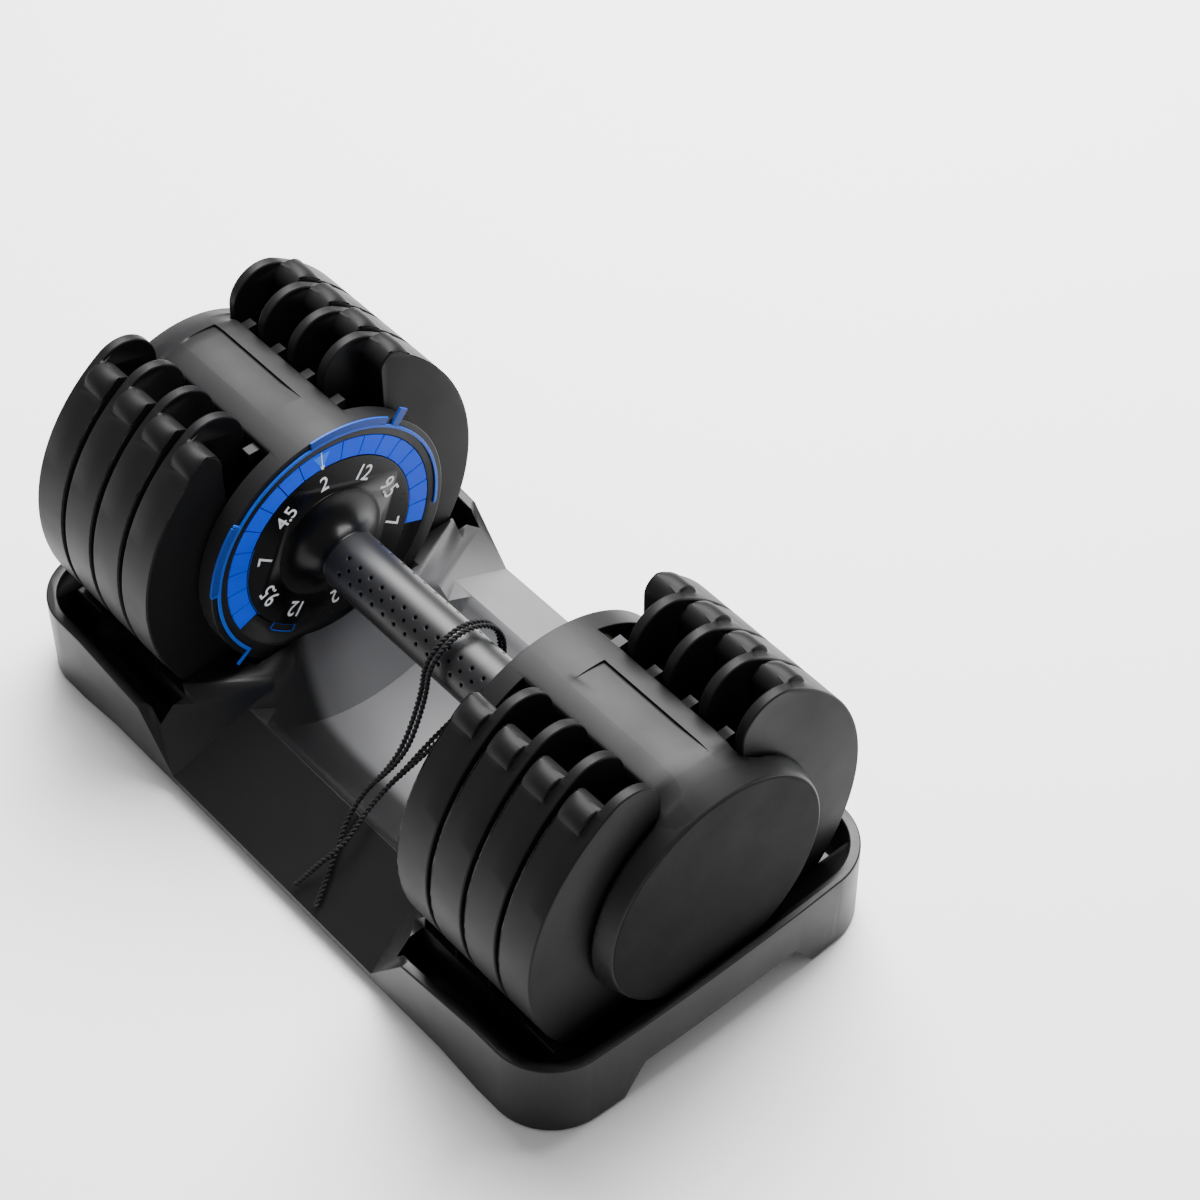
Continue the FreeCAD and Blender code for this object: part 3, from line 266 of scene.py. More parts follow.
@dataclass(frozen=True)
class TrayPlastic:
    """The tray's ABS: dark, with a painted reflection that makes the valley under the handle paler.
    """

    name: str = "tray_abs_moulded"
    colour: str = "#121213"
    shade: str = "#101011"
    # Pale grey of the painted reflection in the valley.
    valley: str = "#5c5c5d"
    roughness: float = 0.38
    edge: float = -31 * MM
    bend: float = 15 * MM
    reach: float = 84 * MM
    fade: float = 9 * MM
    valley_ends: tuple[float, float] = (86 * MM, 62 * MM)

    def material(self) -> Material:
        """Build the material.

        Returns:
            The material.
        """
        material, tree, shader, place = begin(self.name)
        tint = drift(tree, place, 70 * MM, 0.0, 1.0)
        dark = blend_colours(tree, tint, self.colour, self.shade)
        spot = add(tree, "SeparateXYZ", {"Vector": place})
        # Painted reflection: a pale patch, set by place across and along the tray, is blended into
        # the base colour below.
        out = add(tree, "Math", {0: spot.outputs["X"]}, operation="ABSOLUTE").outputs[0]
        share = add(tree, "Math", {0: out, 1: self.reach}, operation="DIVIDE").outputs[0]
        curve = add(tree, "Math", {0: share, 1: 3.0}, operation="POWER").outputs[0]
        shift = add(tree, "Math", {0: curve, 1: self.bend}, operation="MULTIPLY").outputs[0]
        level = add(tree, "Math", {0: spot.outputs["Y"], 1: shift}, operation="SUBTRACT").outputs[0]
        across = add(tree, "MapRange", {"Value": level, "From Min": self.edge - self.fade / 2,
                                        "From Max": self.edge + self.fade / 2},
                     interpolation_type="SMOOTHSTEP")
        outer, inner = self.valley_ends
        along = add(tree, "MapRange", {"Value": out, "From Min": outer, "From Max": inner},
                    interpolation_type="SMOOTHSTEP")
        reflection_share = add(tree, "Math", {0: across.outputs["Result"], 1: along.outputs["Result"]},
                   operation="MULTIPLY")
        tree.links.new(blend_colours(tree, reflection_share.outputs[0], dark, self.valley),
                       shader.inputs["Base Color"])
        tree.links.new(drift(tree, place, 30 * MM, self.roughness - 0.05, self.roughness + 0.05),
                       shader.inputs["Roughness"])
        tree.links.new(grain_bump(tree, place, 0.6 * MM, 0.02 * MM), shader.inputs["Normal"])
        shader.inputs["IOR"].default_value = 1.53
        shader.inputs["Specular IOR Level"].default_value = 0.22
        return material


@dataclass(frozen=True)
class BareMetal:
    """Bare metal: drawn or ground, with fine marks that run one way."""

    name: str
    colour: str
    roughness: float = 0.32
    marks: tuple[float, float, float] = (1, 12, 12)

    def material(self) -> Material:
        """Build the material.

        Returns:
            The material.
        """
        material, tree, shader, place = begin(self.name)
        shader.inputs["Base Color"].default_value = linear(self.colour)
        shader.inputs["Metallic"].default_value = 1.0
        tree.links.new(drift(tree, place, 8 * MM, self.roughness - 0.06, self.roughness + 0.08),
                       shader.inputs["Roughness"])
        tree.links.new(grain_bump(tree, place, 3 * MM, 0.01 * MM, self.marks),
                       shader.inputs["Normal"])
        return material


@dataclass(frozen=True)
class Rubber:
    """Moulded rubber: dull, with a soft sheen at glancing angles."""

    name: str = "foot_rubber_moulded"
    colour: str = "#141414"

    def material(self) -> Material:
        """Build the material.

        Returns:
            The material.
        """
        material, tree, shader, place = begin(self.name)
        shader.inputs["Base Color"].default_value = linear(self.colour)
        shader.inputs["Sheen Weight"].default_value = 0.15
        tree.links.new(drift(tree, place, 10 * MM, 0.7, 0.85), shader.inputs["Roughness"])
        tree.links.new(grain_bump(tree, place, 0.8 * MM, 0.05 * MM), shader.inputs["Normal"])
        return material


@dataclass(frozen=True)
class TwistedPolyester:
    """Twisted polyester cord: dull black fibres with paler ones that catch the light."""

    name: str = "cord_polyester_twisted"
    colour: str = "#020202"
    fibre: str = "#161615"

    def material(self) -> Material:
        """Build the material.

        Returns:
            The material.
        """
        material, tree, shader, place = begin(self.name)
        lines = drift(tree, place, 1.2 * MM, 0.0, 1.0)
        tree.links.new(blend_colours(tree, lines, self.colour, self.fibre),
                       shader.inputs["Base Color"])
        tree.links.new(grain_bump(tree, place, 0.5 * MM, 0.1 * MM), shader.inputs["Normal"])
        shader.inputs["Roughness"].default_value = 0.7
        shader.inputs["Specular IOR Level"].default_value = 0.2
        shader.inputs["Sheen Weight"].default_value = 0.03
        return material


class Finishes:
    """Every finish on the object, built once."""

    def __init__(self) -> None:
        """Build the materials."""
        self.plate = MouldedPlastic("plate_satin_black_paint", "#141415", "#121213", 0.46,
                                    0.7 * MM, 0.02 * MM, gleam=0.09).material()
        self.casing = MouldedPlastic("casing_abs_satin", "#171718", "#141415", 0.43).material()
        # Painted shade: a darker, less glossy copy of the casing plastic for the end caps' outward
        # faces.
        self.cap = MouldedPlastic("cap_face_abs_painted_shade", "#0a0a0b", "#090909", 0.5,
                                  gleam=0.03).material()
        self.tray = TrayPlastic().material()
        self.dial = MouldedPlastic("dial_abs_black", "#070708", "#050506", 0.3,
                                   depth=0.008 * MM).material()
        self.scale = MouldedPlastic("scale_polycarbonate_blue", "#0a52f2", "#084cea", 0.6,
                                    depth=0.005 * MM).material()
        self.mark = MouldedPlastic("mark_polycarbonate_pale_blue", "#3583f8", "#2f7cf2", 0.35,
                                   depth=0.004 * MM).material()
        self.trim = MouldedPlastic("trim_abs_blue", "#1758c8", "#1450ba", 0.35,
                                   depth=0.005 * MM).material()
        self.tab = MouldedPlastic("clip_abs_deep_blue", "#123f96", "#103888", 0.4,
                                  depth=0.005 * MM).material()
        self.print = MouldedPlastic("print_white_ink", "#f2f2f2", "#ececec", 0.5,
                                    depth=0.003 * MM).material()
        self.grip = GripCoat().material()
        self.nylon = MouldedPlastic("selector_nylon_moulded", "#2a2a2a", "#242424", 0.5).material()
        self.rubber = Rubber().material()
        self.cord = TwistedPolyester().material()
        self.steel = BareMetal("shaft_steel_ground", "#b9b9b6").material()
        self.zinc = BareMetal("bracket_steel_zinc_plated", "#c4c2b4", 0.38, (6, 6, 1)).material()
        self.bronze = BareMetal("bush_bronze_sintered", "#a5824d", 0.45, (4, 4, 4)).material()


# ------------------------------------------------------------------ meshes
def new_piece(name: str, mesh: Mesh, body: str, finish: Material, slot: str,
              *replaced: str) -> Shape:
    """Put a finished mesh into the scene as a piece of the object.

    Args:
        name: the piece's name.
        mesh: its mesh, in place.
        body: the CAD body that it rides on.
        finish: its material.
        slot: the record's material slot; not used.
        *replaced: the CAD nodes that it stands for.

    Returns:
        The piece.
    """
    mesh.materials.clear()
    mesh.materials.append(finish)
    piece = bpy.data.objects.new(name, mesh)
    bpy.context.scene.collection.objects.link(piece)
    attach(piece, body)
    if replaced:
        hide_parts(*replaced)
    LOG.info("%s: %d faces on %s", name, len(mesh.polygons), body)
    return piece


def to_mesh(bm: Bmesh, name: str, sharp: float = 35.0) -> Mesh:
    """Turn a bmesh into a mesh that is smooth up to an angle between its faces.

    Args:
        bm: the bmesh, which is freed.
        name: the new mesh's name.
        sharp: the angle, in degrees.

    Returns:
        The mesh.
    """
    mesh = bpy.data.meshes.new(name)
    bm.to_mesh(mesh)
    bm.free()
    mesh.shade_smooth()
    mesh.set_sharp_from_angle(angle=math.radians(sharp))
    return mesh


def merged_copy(node: str) -> Bmesh:
    """Copy a CAD node's mesh with its loose triangles joined and its flat faces whole.

    Args:
        node: the CAD node's name.

    Returns:
        The copy.
    """
    bm = bmesh.new()
    bm.from_mesh(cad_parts[node].data)
    bmesh.ops.remove_doubles(bm, verts=bm.verts, dist=1e-6)
    bmesh.ops.dissolve_limit(bm, angle_limit=math.radians(0.3), verts=bm.verts, edges=bm.edges)
    return bm


def rounded(bm: Bmesh, name: str, radius: float, segments: int = 3, sharp: float = 32.0) -> Mesh:
    """Round a mesh's outward edges.

    Args:
        bm: the mesh to round.
        name: the new mesh's name.
        radius: the width of the rounding.
        segments: faces across each rounding.
        sharp: the least angle between two faces, in degrees, that counts as an edge.

    Returns:
        The rounded mesh.
    """
    layer = bm.edges.layers.float.new("bevel_weight_edge")
    for edge in bm.edges:
        outward = len(edge.link_faces) == 2 and edge.is_convex
        if outward and edge.calc_face_angle(0) > math.radians(sharp):
            edge[layer] = 1.0
    mesh = to_mesh(bm, name + "_rough", 60)
    holder = bpy.data.objects.new(name + "_rough", mesh)
    bpy.context.scene.collection.objects.link(holder)
    bevel = holder.modifiers.new("edges", "BEVEL")
    bevel.width = radius
    bevel.segments = segments
    bevel.limit_method = "WEIGHT"
    bevel.use_clamp_overlap = False
    bevel.harden_normals = True
    view = bpy.context.evaluated_depsgraph_get()
    result = bpy.data.meshes.new_from_object(holder.evaluated_get(view))
    result.name = name
    bpy.data.objects.remove(holder)
    bpy.data.meshes.remove(mesh)
    return result


def clamp(value: float) -> float:
    """Hold a value between 0 and 1.

    Args:
        value: any number.

    Returns:
        The nearest number in that range.
    """
    return min(1.0, max(0.0, value))


def polar(x: float, radius: float, angle: float) -> Vector:
    """Find a point round the handle's axis.

    Args:
        x: its place along the handle.
        radius: its distance from the axis.
        angle: where it stands, in degrees, 0 at +Y and 90 at +Z.

    Returns:
        The point.
    """
    turn = math.radians(angle)
    return Vector((x, radius * math.cos(turn), AXIS + radius * math.sin(turn)))


def add_sector(bm: Bmesh, x: tuple[float, float], radii: tuple[float, float], start: float,
               sweep: float, step: float = 2.0) -> None:
    """Add a block that follows a circle round the handle's axis.

    Args:
        bm: the mesh to add to.
        x: the block's low and high ends along the handle.
        radii: its inner and outer radius.
        start: the angle where it starts, in degrees.
        sweep: the angle that it covers, in degrees.
        step: the angle of one face, in degrees.
    """
    corners = [(x[0], radii[0]), (x[1], radii[0]), (x[1], radii[1]), (x[0], radii[1])]
    face = bm.faces.new([bm.verts.new(polar(along, radius, start)) for along, radius in corners])
    bmesh.ops.spin(bm, geom=[face, *face.edges, *face.verts], cent=(0, 0, AXIS), axis=(1, 0, 0),
                   angle=math.radians(sweep), steps=max(1, round(sweep / step)), use_merge=False)


def cut_across(bm: Bmesh, x: float) -> None:
    """Cut a mesh's faces where a plane square to the handle crosses them.

    Args:
        bm: the mesh.
        x: the plane's place along the handle.
    """
    bmesh.ops.bisect_plane(bm, geom=list(bm.verts) + list(bm.edges) + list(bm.faces),
                           plane_co=(x, 0, 0), plane_no=(1, 0, 0))


def closed(bm: Bmesh) -> Bmesh:
    """Join a mesh's doubled points and turn its faces outwards.

    Args:
        bm: the mesh.

    Returns:
        The same mesh.
    """
    bmesh.ops.remove_doubles(bm, verts=bm.verts, dist=1e-7)
    bmesh.ops.recalc_face_normals(bm, faces=bm.faces)
    return bm


# ------------------------------------------------------------------ the tray
@dataclass
class Tray:
    """The storage tray: one hollow moulding on four rubber pads.

    The lip's top edges are looked for above rim_level and outside rim_start, along the sides, the
    ends and the corners; the arches' edges below arch_level in the outermost part of the end wall.
    """

    finishes: Finishes
    fold: float = 50.0
    rim_round: float = 1.7 * MM
    rim_level: float = 36 * MM
    rim_start: float = 90 * MM
    side_line: float = 90 * MM
    end_line: float = 180 * MM
    corner: tuple[float, float] = (158 * MM, 68 * MM)
    arch_round: float = 0.8 * MM
    arch_level: float = 20 * MM
    arch_wall: float = 184.5 * MM
    arch_half: float = 62 * MM

    def is_fold(self, edge: Edge) -> bool:
        """Tell whether an edge turns outwards sharply.

        Args:
            edge: an edge of the moulding.

        Returns:
            Whether it does.
        """
        return edge.is_convex and edge.calc_face_angle(0) >= math.radians(self.fold)

    def is_rim(self, edge: Edge) -> bool:
        """Tell whether an edge is one of the two long edges of the lip's top.

        Args:
            edge: an edge of the moulding.

        Returns:
            Whether it is.
        """
        middle = (edge.verts[0].co + edge.verts[1].co) / 2
        along, across = abs(middle.x), abs(middle.y)
        if not self.is_fold(edge) or middle.z < self.rim_level or along < self.rim_start:
            return False
        tops = [face for face in edge.link_faces if face.normal.z > 0.8]
        walls = [face for face in edge.link_faces if abs(face.normal.z) < 0.3]
        in_corner = along > self.corner[0] and across > self.corner[1]
        near_rim = across > self.side_line or along > self.end_line or in_corner
        return len(tops) == 1 and len(walls) == 1 and near_rim

    def is_arch(self, edge: Edge) -> bool:
        """Tell whether an edge belongs to an end arch's outline in the outer wall.

        Args:
            edge: an edge of the moulding.

        Returns:
            Whether it does.
        """
        middle = (edge.verts[0].co + edge.verts[1].co) / 2
        outermost = max(abs(spot.co.x) for spot in edge.verts)
        return (self.is_fold(edge) and middle.z < self.arch_level and outermost > self.arch_wall
                and abs(middle.y) < self.arch_half)

    def build(self) -> None:
        """Build the moulding and dress the pads."""
        bm = merged_copy("tray_shell")
        for chosen, radius in ((self.is_rim, self.rim_round), (self.is_arch, self.arch_round)):
            edges = [edge for edge in bm.edges if len(edge.link_faces) == 2 and chosen(edge)]
            bmesh.ops.bevel(bm, geom=edges, offset=radius, offset_type="OFFSET", segments=4,
                            profile=0.5, affect="EDGES", material=-1, clamp_overlap=True)
        mesh = to_mesh(bm, "tray_moulding", 28)
        new_piece("tray_moulding", mesh, "tray", self.finishes.tray, "tray_plastic", "tray_shell")
        pads = rounded(merged_copy("rubber_feet"), "tray_pads", 0.6 * MM)
        new_piece("tray_pads", pads, "tray", self.finishes.rubber, "foot_rubber", "rubber_feet")


# ------------------------------------------------------------------ the weight plates
@dataclass
class WeightPlates:
    """Eight loose plates, four in each head."""

    finishes: Finishes
    count: int = 4
    edge_round: float = 0.9 * MM
    plate_radius: float = 90.5 * MM
    nub_round: float = 8.0 * MM
    nub_cuts: int = 8

    def dome(self, bm: Bmesh, handle_side: float, outward: float) -> None:
        """Bring each nub down to the plate's edge in a quarter round at its handle side.

        Args:
            bm: the plate.
            handle_side: where its handle side lies along the handle.
            outward: the direction away from the handle, 1 or -1.
        """
        for number in range(1, self.nub_cuts + 1):
            reach = self.nub_round * (1 - math.cos(math.pi / 2 * number / self.nub_cuts))
            cut_across(bm, handle_side + outward * reach)
        for vertex in bm.verts:
            spot = vertex.co
            radius = math.hypot(spot.y, spot.z - AXIS)
            share = (spot.x - handle_side) * outward / self.nub_round
            if radius > self.plate_radius and 0 <= share < 1:
                rise = math.sqrt(1 - (1 - share) ** 2)
                scale = (self.plate_radius + (radius - self.plate_radius) * rise) / radius
                spot.y *= scale
                spot.z = AXIS + (spot.z - AXIS) * scale

    def build(self) -> None:
        """Build every plate with rounded edges and domed nubs."""
        for head in Head:
            for number in range(1, self.count + 1):
                node = f"plate_{head.label}_{number}"
                low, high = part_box(node)
                bm = merged_copy(node)
                self.dome(bm, min(low.x, high.x, key=abs), head.value)
                mesh = rounded(bm, node + "_cast", self.edge_round)
                new_piece(node + "_cast", mesh, node + "_body", self.finishes.plate,
                          "plate_paint", node)


# ------------------------------------------------------------------ the heads' casings
@dataclass
class Casing:
    """One head's flange, saddle cover and end cap.

    The saddle's visible top is a skin of its own over the CAD cover. It falls from fall_start,
    sinks under the end cap at its edges and flares out to it. The cover's top is lowered beneath.
    """

    finishes: Finishes
    head: Head
    radius: float = 64.52 * MM
    half_width: float = 20.2 * MM
    flange_back: float = 85 * MM
    fall_start: float = 157 * MM
    cap_in: float = 172.3 * MM
    cap_out: float = 182.3 * MM
    cap_radii: tuple[float, float] = (60 * MM, 57 * MM)
    flare: float = 9 * MM
    cap_sink: float = 0.5 * MM
    edge_fall: tuple[float, float] = (1.1 * MM, 0.8 * MM)
    panel: tuple[float, float] = (101 * MM, 164.8 * MM)
    panel_half: float = 9.5 * MM
    panel_deep: float = 1.3 * MM
    under: float = 62.2 * MM
    lowering: float = 4 * MM
    skin: float = 2.5 * MM

    def cap_radius(self, x: float) -> float:
        """Find the end cap's radius.

        Args:
            x: the place along the handle.

        Returns:
            The radius there.
        """
        back, face = self.cap_radii
        return back + (face - back) * (x - self.cap_in) / (self.cap_out - self.cap_in)

    def in_flare(self, x: float) -> float:
        """Find how far into the flare before the end cap a place is.

        Args:
            x: the place along the handle.

        Returns:
            The share of the flare's length: 0 up to its start and 1 from the cap on.
        """
        return clamp((x - self.cap_in + self.flare) / self.flare)

    def half_at(self, x: float) -> float:
        """Find the saddle's half width, which flares out to meet the end cap.

        Args:
            x: the place along the handle.

        Returns:
            The half width there.
        """
        share = self.in_flare(x)
        return self.half_width + self.flare * (1 - math.sqrt(1 - share * share))

    def level(self, x: float, y: float, inside: bool) -> float:
        """Find the saddle's radius at a place on it.

        Args:
            x: the place along the handle.
            y: the place across it.
            inside: whether the place lies in the sunk panel.

        Returns:
            The radius from the handle's axis.
        """
        share = clamp((x - self.fall_start) / (self.cap_out - self.fall_start))
        radius = self.radius + (self.cap_radii[1] - 0.05 * MM - self.radius) * share ** 1.6
        sink = self.in_flare(x) * (abs(y) / self.half_at(x)) ** 4
        radius -= sink * max(0.0, radius - self.cap_radius(max(x, self.cap_in)) + self.cap_sink)
        if x >= self.cap_in:
            return radius
        if x > self.flange_back:
            width, drop = self.edge_fall
            brink = clamp(1 - (self.half_at(x) - abs(y)) / width)
            radius -= drop * (1 - math.sqrt(1 - brink * brink))
        low, high = self.panel
        along = (x - low) / (high - low) if self.head is Head.NEAR else (high - x) / (high - low)
        across = (y / self.panel_half + 1) / 2
        deep = self.panel_deep * across * min(1.0, 5 * (1 - along))
        return radius - (deep if inside else 0.0)

    def build_skin(self) -> None:
        """Build the saddle's top: flush with the flange, sunk in a panel, flared into the cap."""
        low, high = self.panel
        step = 0.12 * MM
        stations = [76.2 * MM, 80 * MM, self.flange_back, self.flange_back + 0.2 * MM, 90 * MM,
                    95 * MM, low - step, low + step, 115 * MM, 130 * MM, 145 * MM, self.fall_start,
                    160 * MM, 162 * MM, 163.3 * MM, high - step, high + step, 166 * MM, 167 * MM,
                    168 * MM, 169 * MM, 170 * MM, 171 * MM, 171.6 * MM, 172 * MM, self.cap_in,
                    174 * MM, 177 * MM, 180 * MM, 181.7 * MM]
        side = [0.0, 3.0, 6.0, 9.38, 9.62, 12.0, 15.0, 17.5, 19.1, 19.4, 19.7, 20.0, 20.12, 20.2]
        columns = [-value for value in side[:0:-1]] + side
        bm = bmesh.new()
        bmesh.ops.create_grid(bm, x_segments=len(stations) - 1, y_segments=len(columns) - 1,
                              size=1)
        for vertex in bm.verts:
            x = stations[round((vertex.co.x + 1) / 2 * (len(stations) - 1))]
            across = columns[round((vertex.co.y + 1) / 2 * (len(columns) - 1))] * MM
            inside = low < x < high and abs(across) < self.panel_half
            y = across * self.half_at(x) / self.half_width
            radius = self.level(x, y, inside)
            vertex.co = (self.head.value * x, y, AXIS + math.sqrt(radius * radius - y * y))
        bmesh.ops.recalc_face_normals(bm, faces=bm.faces)
        if sum(face.normal.z for face in bm.faces) < 0:
            bmesh.ops.reverse_faces(bm, faces=bm.faces)
        bmesh.ops.solidify(bm, geom=list(bm.faces), thickness=self.skin)
        closed(bm)
        name = f"saddle_top_{self.head.label}"
        new_piece(name, to_mesh(bm, name, 38), "dumbbell", self.finishes.casing,
                  "casing_plastic")

    def build_saddle(self) -> None:
        """Build the saddle's sides and teeth from the CAD cover, its top lowered under the skin."""
        name = f"saddle_cover_{self.head.label}"
        bm = merged_copy(name)
        cut_across(bm, self.head.value * (self.cap_in - self.flare))
        for vertex in bm.verts:
            spot = vertex.co
            reach = math.hypot(spot.y, spot.z - AXIS)
            under = self.under - self.lowering * self.in_flare(abs(spot.x))
            if reach > under and abs(spot.y) < self.half_width + 0.1 * MM:
                spot.y *= under / reach if abs(spot.y) < self.half_width - 0.3 * MM else 1.0
                spot.z = AXIS + math.sqrt(under ** 2 - spot.y ** 2)
        mesh = to_mesh(bm, name + "_sides", 30)
        new_piece(name + "_sides", mesh, "dumbbell", self.finishes.casing, "casing_plastic",
                  name)

    def build(self) -> None:
        """Build the casing's visible mouldings."""
        side = self.head.label
        for node, slot, radius in (("inner_flange", "casing_plastic", 0.5 * MM),
                                   ("end_cap", "cap_plastic", 0.6 * MM)):
            name = f"{node}_{side}"
            mesh = rounded(merged_copy(name), name + "_moulding", radius)
            piece = new_piece(name + "_moulding", mesh, "dumbbell", self.finishes.casing, slot,
                              name)
            if node == "end_cap":
                # Painted shade: the cap's outward face takes the darker cap material, the rest
                # keeps the casing's.
                piece.data.materials.append(self.finishes.cap)
                for face in piece.data.polygons:
                    face.material_index = int(face.normal.x * self.head.value > 0.9)
        self.build_saddle()
        self.build_skin()


# ------------------------------------------------------------------ dial, scale and trim
@dataclass(frozen=True)
class Block:
    """A block that follows a circle on a head's inner face, in millimetres and degrees.

    It lies between the inner and outer radius, covers sweep from start on, and reaches from depth
    behind the flange's face to height in front of it.
    """

    inner: float
    outer: float
    start: float
    sweep: float
    height: float = 0.0
    depth: float = 0.0


@dataclass
class DialFace:
    """One head's numbered dial with the blue scale and trim round it."""

    finishes: Finishes
    head: Head
    numbers: tuple[str, ...] = ("2", "4.5", "7", "9.5", "12")
    number_radius: float = 36 * MM
    number_height: float = 8.2 * MM
    face: float = 74.8 * MM
    flange: float = 75.0 * MM
    tiles: int = 18
    tile_start: float = -23.0
    tile_sweep: float = 226.0
    tile_gap: float = 0.55
    tile_radii: tuple[float, float] = (45.7, 55.9)
    near_limit: float = 62.3

    def flip(self, mesh: Mesh) -> Mesh:
        """Turn a mesh built for the far head half round for the near one.

        Args:
            mesh: a mesh in place on the far head.

        Returns:
            The same mesh, in place on this head.
        """
        if self.head is Head.NEAR:
            mesh.transform(Matrix.Rotation(math.pi, 4, "Z"))
        return mesh

    def sectors(self, name: str, blocks: Iterable[Block], finish: Material, round_off: float,
                *replaced: str) -> Shape:
        """Make one piece from blocks that follow circles on the far head's inner face.

        Args:
            name: the piece's name.
            blocks: what it is made of.
            finish: its material.
            round_off: the rounding of its edges.
            *replaced: the CAD nodes that it stands for.

        Returns:
            The piece.
        """
        bm = bmesh.new()
        for block in blocks:
            add_sector(bm, (-self.flange - block.depth * MM, -self.flange + block.height * MM),
                       (block.inner * MM, block.outer * MM), block.start, block.sweep)
        closed(bm)
        mesh = self.flip(rounded(bm, name, round_off, segments=2))
        return new_piece(name, mesh, "dumbbell", finish, "blue_plastic", *replaced)

    def build_scale(self) -> None:
        """Build the scale's tiles with a thin dark line between each two, and the pointer on it."""
        pitch = self.tile_sweep / self.tiles
        tiles = [Block(*self.tile_radii, self.tile_start + k * pitch + self.tile_gap / 2,
                       pitch - self.tile_gap, depth=1.0) for k in range(self.tiles)]
        self.sectors(f"scale_tiles_{self.head.label}", tiles, self.finishes.scale, 0.12 * MM,
                     f"scale_ring_{self.head.label}")
        self.pointer("pointer_field", 9.0 * MM, 54.0 * MM, 46.0 * MM, 0.06 * MM,
                     self.finishes.mark)
        self.pointer("pointer_tip", 2.2 * MM, 47.4 * MM, 44.2 * MM, 0.1 * MM, self.finishes.print)
        self.pointer("pointer_line", 0.5 * MM, 55.6 * MM, 46.5 * MM, 0.09 * MM,
                     self.finishes.print, 0.9)

    def pointer(self, label: str, width: float, top: float, tip: float, height: float,
                finish: Material, taper: float = 0.0) -> None:
        """Build one flat mark that points inwards from the scale's top.

        Args:
            label: the mark's name without its head.
            width: its width at the top.
            top: the radius of its top edge.
            tip: the radius of its tip.
            height: how far it stands in front of the scale.
            finish: its material.
            taper: the tip's share of the width.
        """
        bm = bmesh.new()
        half, end = width / 2, max(width * taper / 2, 0.01 * MM)
        spots = ((-half, top), (half, top), (end, tip), (-end, tip))
        face = bm.faces.new([bm.verts.new((-self.flange, y, AXIS + z)) for y, z in spots])
        pushed = bmesh.ops.extrude_face_region(bm, geom=[face])
        moved = [item for item in pushed["geom"] if isinstance(item, bmesh.types.BMVert)]
        bmesh.ops.translate(bm, verts=moved, vec=(height, 0, 0))
        closed(bm)
        name = f"{label}_{self.head.label}"
        new_piece(name, self.flip(to_mesh(bm, name)), "dumbbell", finish, "blue_plastic")

    def build_trim(self) -> None:
        """Build the outline round the scale, the clips on it and the hairline marks inside it.

        On the near head they stop at near_limit, inside the flange's outline, so that none shows
        past it.
        """
        side = self.head.label
        limit = self.near_limit if self.head is Head.NEAR else math.inf
        line = [Block(60.0, 61.6, -14, 231.6, 0.9),
                Block(61.6, min(limit, 69.5), 216.4, 1.4, 0.9),
                Block(61.6, min(limit, 65.2), 172.0, 1.2, 0.9),
                Block(61.6, min(limit, 65.2), 138.0, 1.2, 0.9)]
        self.sectors(f"trim_line_{side}", line, self.finishes.trim, 0.2 * MM, f"trim_ring_{side}")
        clips = [Block(61.7, min(limit, 65.9), 139.4, 32.4, 1.2),
                 Block(61.7, min(limit, 65.4), 56.0, 39.0, 1.2),
                 Block(61.7, min(limit, 70.6), 48.2, 4.0, 1.2)]
        self.sectors(f"trim_clips_{side}", clips, self.finishes.tab, 0.3 * MM)
        hairlines = [Block(44.6, 45.25, 151, 54, 0.15), Block(44.6, 45.2, 222, 18, 0.15),
                     Block(48.4, 49.0, 223, 16, 0.15), Block(45.1, 48.5, 221.4, 0.8, 0.15),
                     Block(45.1, 48.5, 239.4, 0.8, 0.15)]
        self.sectors(f"trim_arc_{side}", hairlines, self.finishes.trim, 0.05 * MM)

    def build_dial(self) -> None:
        """Build the dial's body and its printed numbers."""
        node = f"number_dial_{self.head.label}"
        mesh = rounded(merged_copy(node), node + "_turned", 0.35 * MM, segments=2, sharp=40)
        new_piece(node + "_turned", mesh, "handle", self.finishes.dial, "dial_plastic", node)
        self.build_numbers()

    def build_numbers(self) -> None:
        """Print the numbers round the dial, their tops outwards, each twice."""
        steps = 2 * len(self.numbers)
        prints = [self.number_mesh(self.numbers[k % len(self.numbers)], 90 + 360 / steps * k)
                  for k in range(steps)]
        bm = bmesh.new()
        for mesh in prints:
            bm.from_mesh(mesh)
            bpy.data.meshes.remove(mesh)
        name = f"dial_numbers_{self.head.label}"
        new_piece(name, self.flip(to_mesh(bm, name)), "handle", self.finishes.print,
                  "dial_plastic")

    def number_mesh(self, text: str, angle: float) -> Mesh:
        """Make one number, in place on the far head's dial.

        Args:
            text: the number.
            angle: where it stands, in degrees, 0 at +Y and 90 at +Z.

        Returns:
            Its mesh.
        """
        curve = bpy.data.curves.new(text, "FONT")
        curve.body = text
        curve.size = self.number_height / 0.7
        curve.extrude = 0.05 * MM
        curve.offset = 0.08 * MM
        curve.align_x = "CENTER"
        curve.align_y = "CENTER"
        curve.resolution_u = 4
        curve.space_character = 0.92
        holder = bpy.data.objects.new(text, curve)
        mesh = bpy.data.meshes.new_from_object(holder)
        bpy.data.objects.remove(holder)
        upright = Matrix(((0, 0, 1, 0), (1, 0, 0, 0), (0, 1, 0, 0), (0, 0, 0, 1)))
        squeeze = Matrix.Diagonal((0.86, 1, 1, 1))
        outwards = Matrix.Translation((0, 0, self.number_radius))
        turn = Matrix.Rotation(math.radians(angle - 90), 4, "X")
        home = Matrix.Translation((-self.face, 0, AXIS))
        mesh.transform(home @ turn @ outwards @ upright @ squeeze)
        return mesh

    def build(self) -> None:
        """Build the dial, the scale and the trim."""
        self.build_dial()
        self.build_scale()
        self.build_trim()


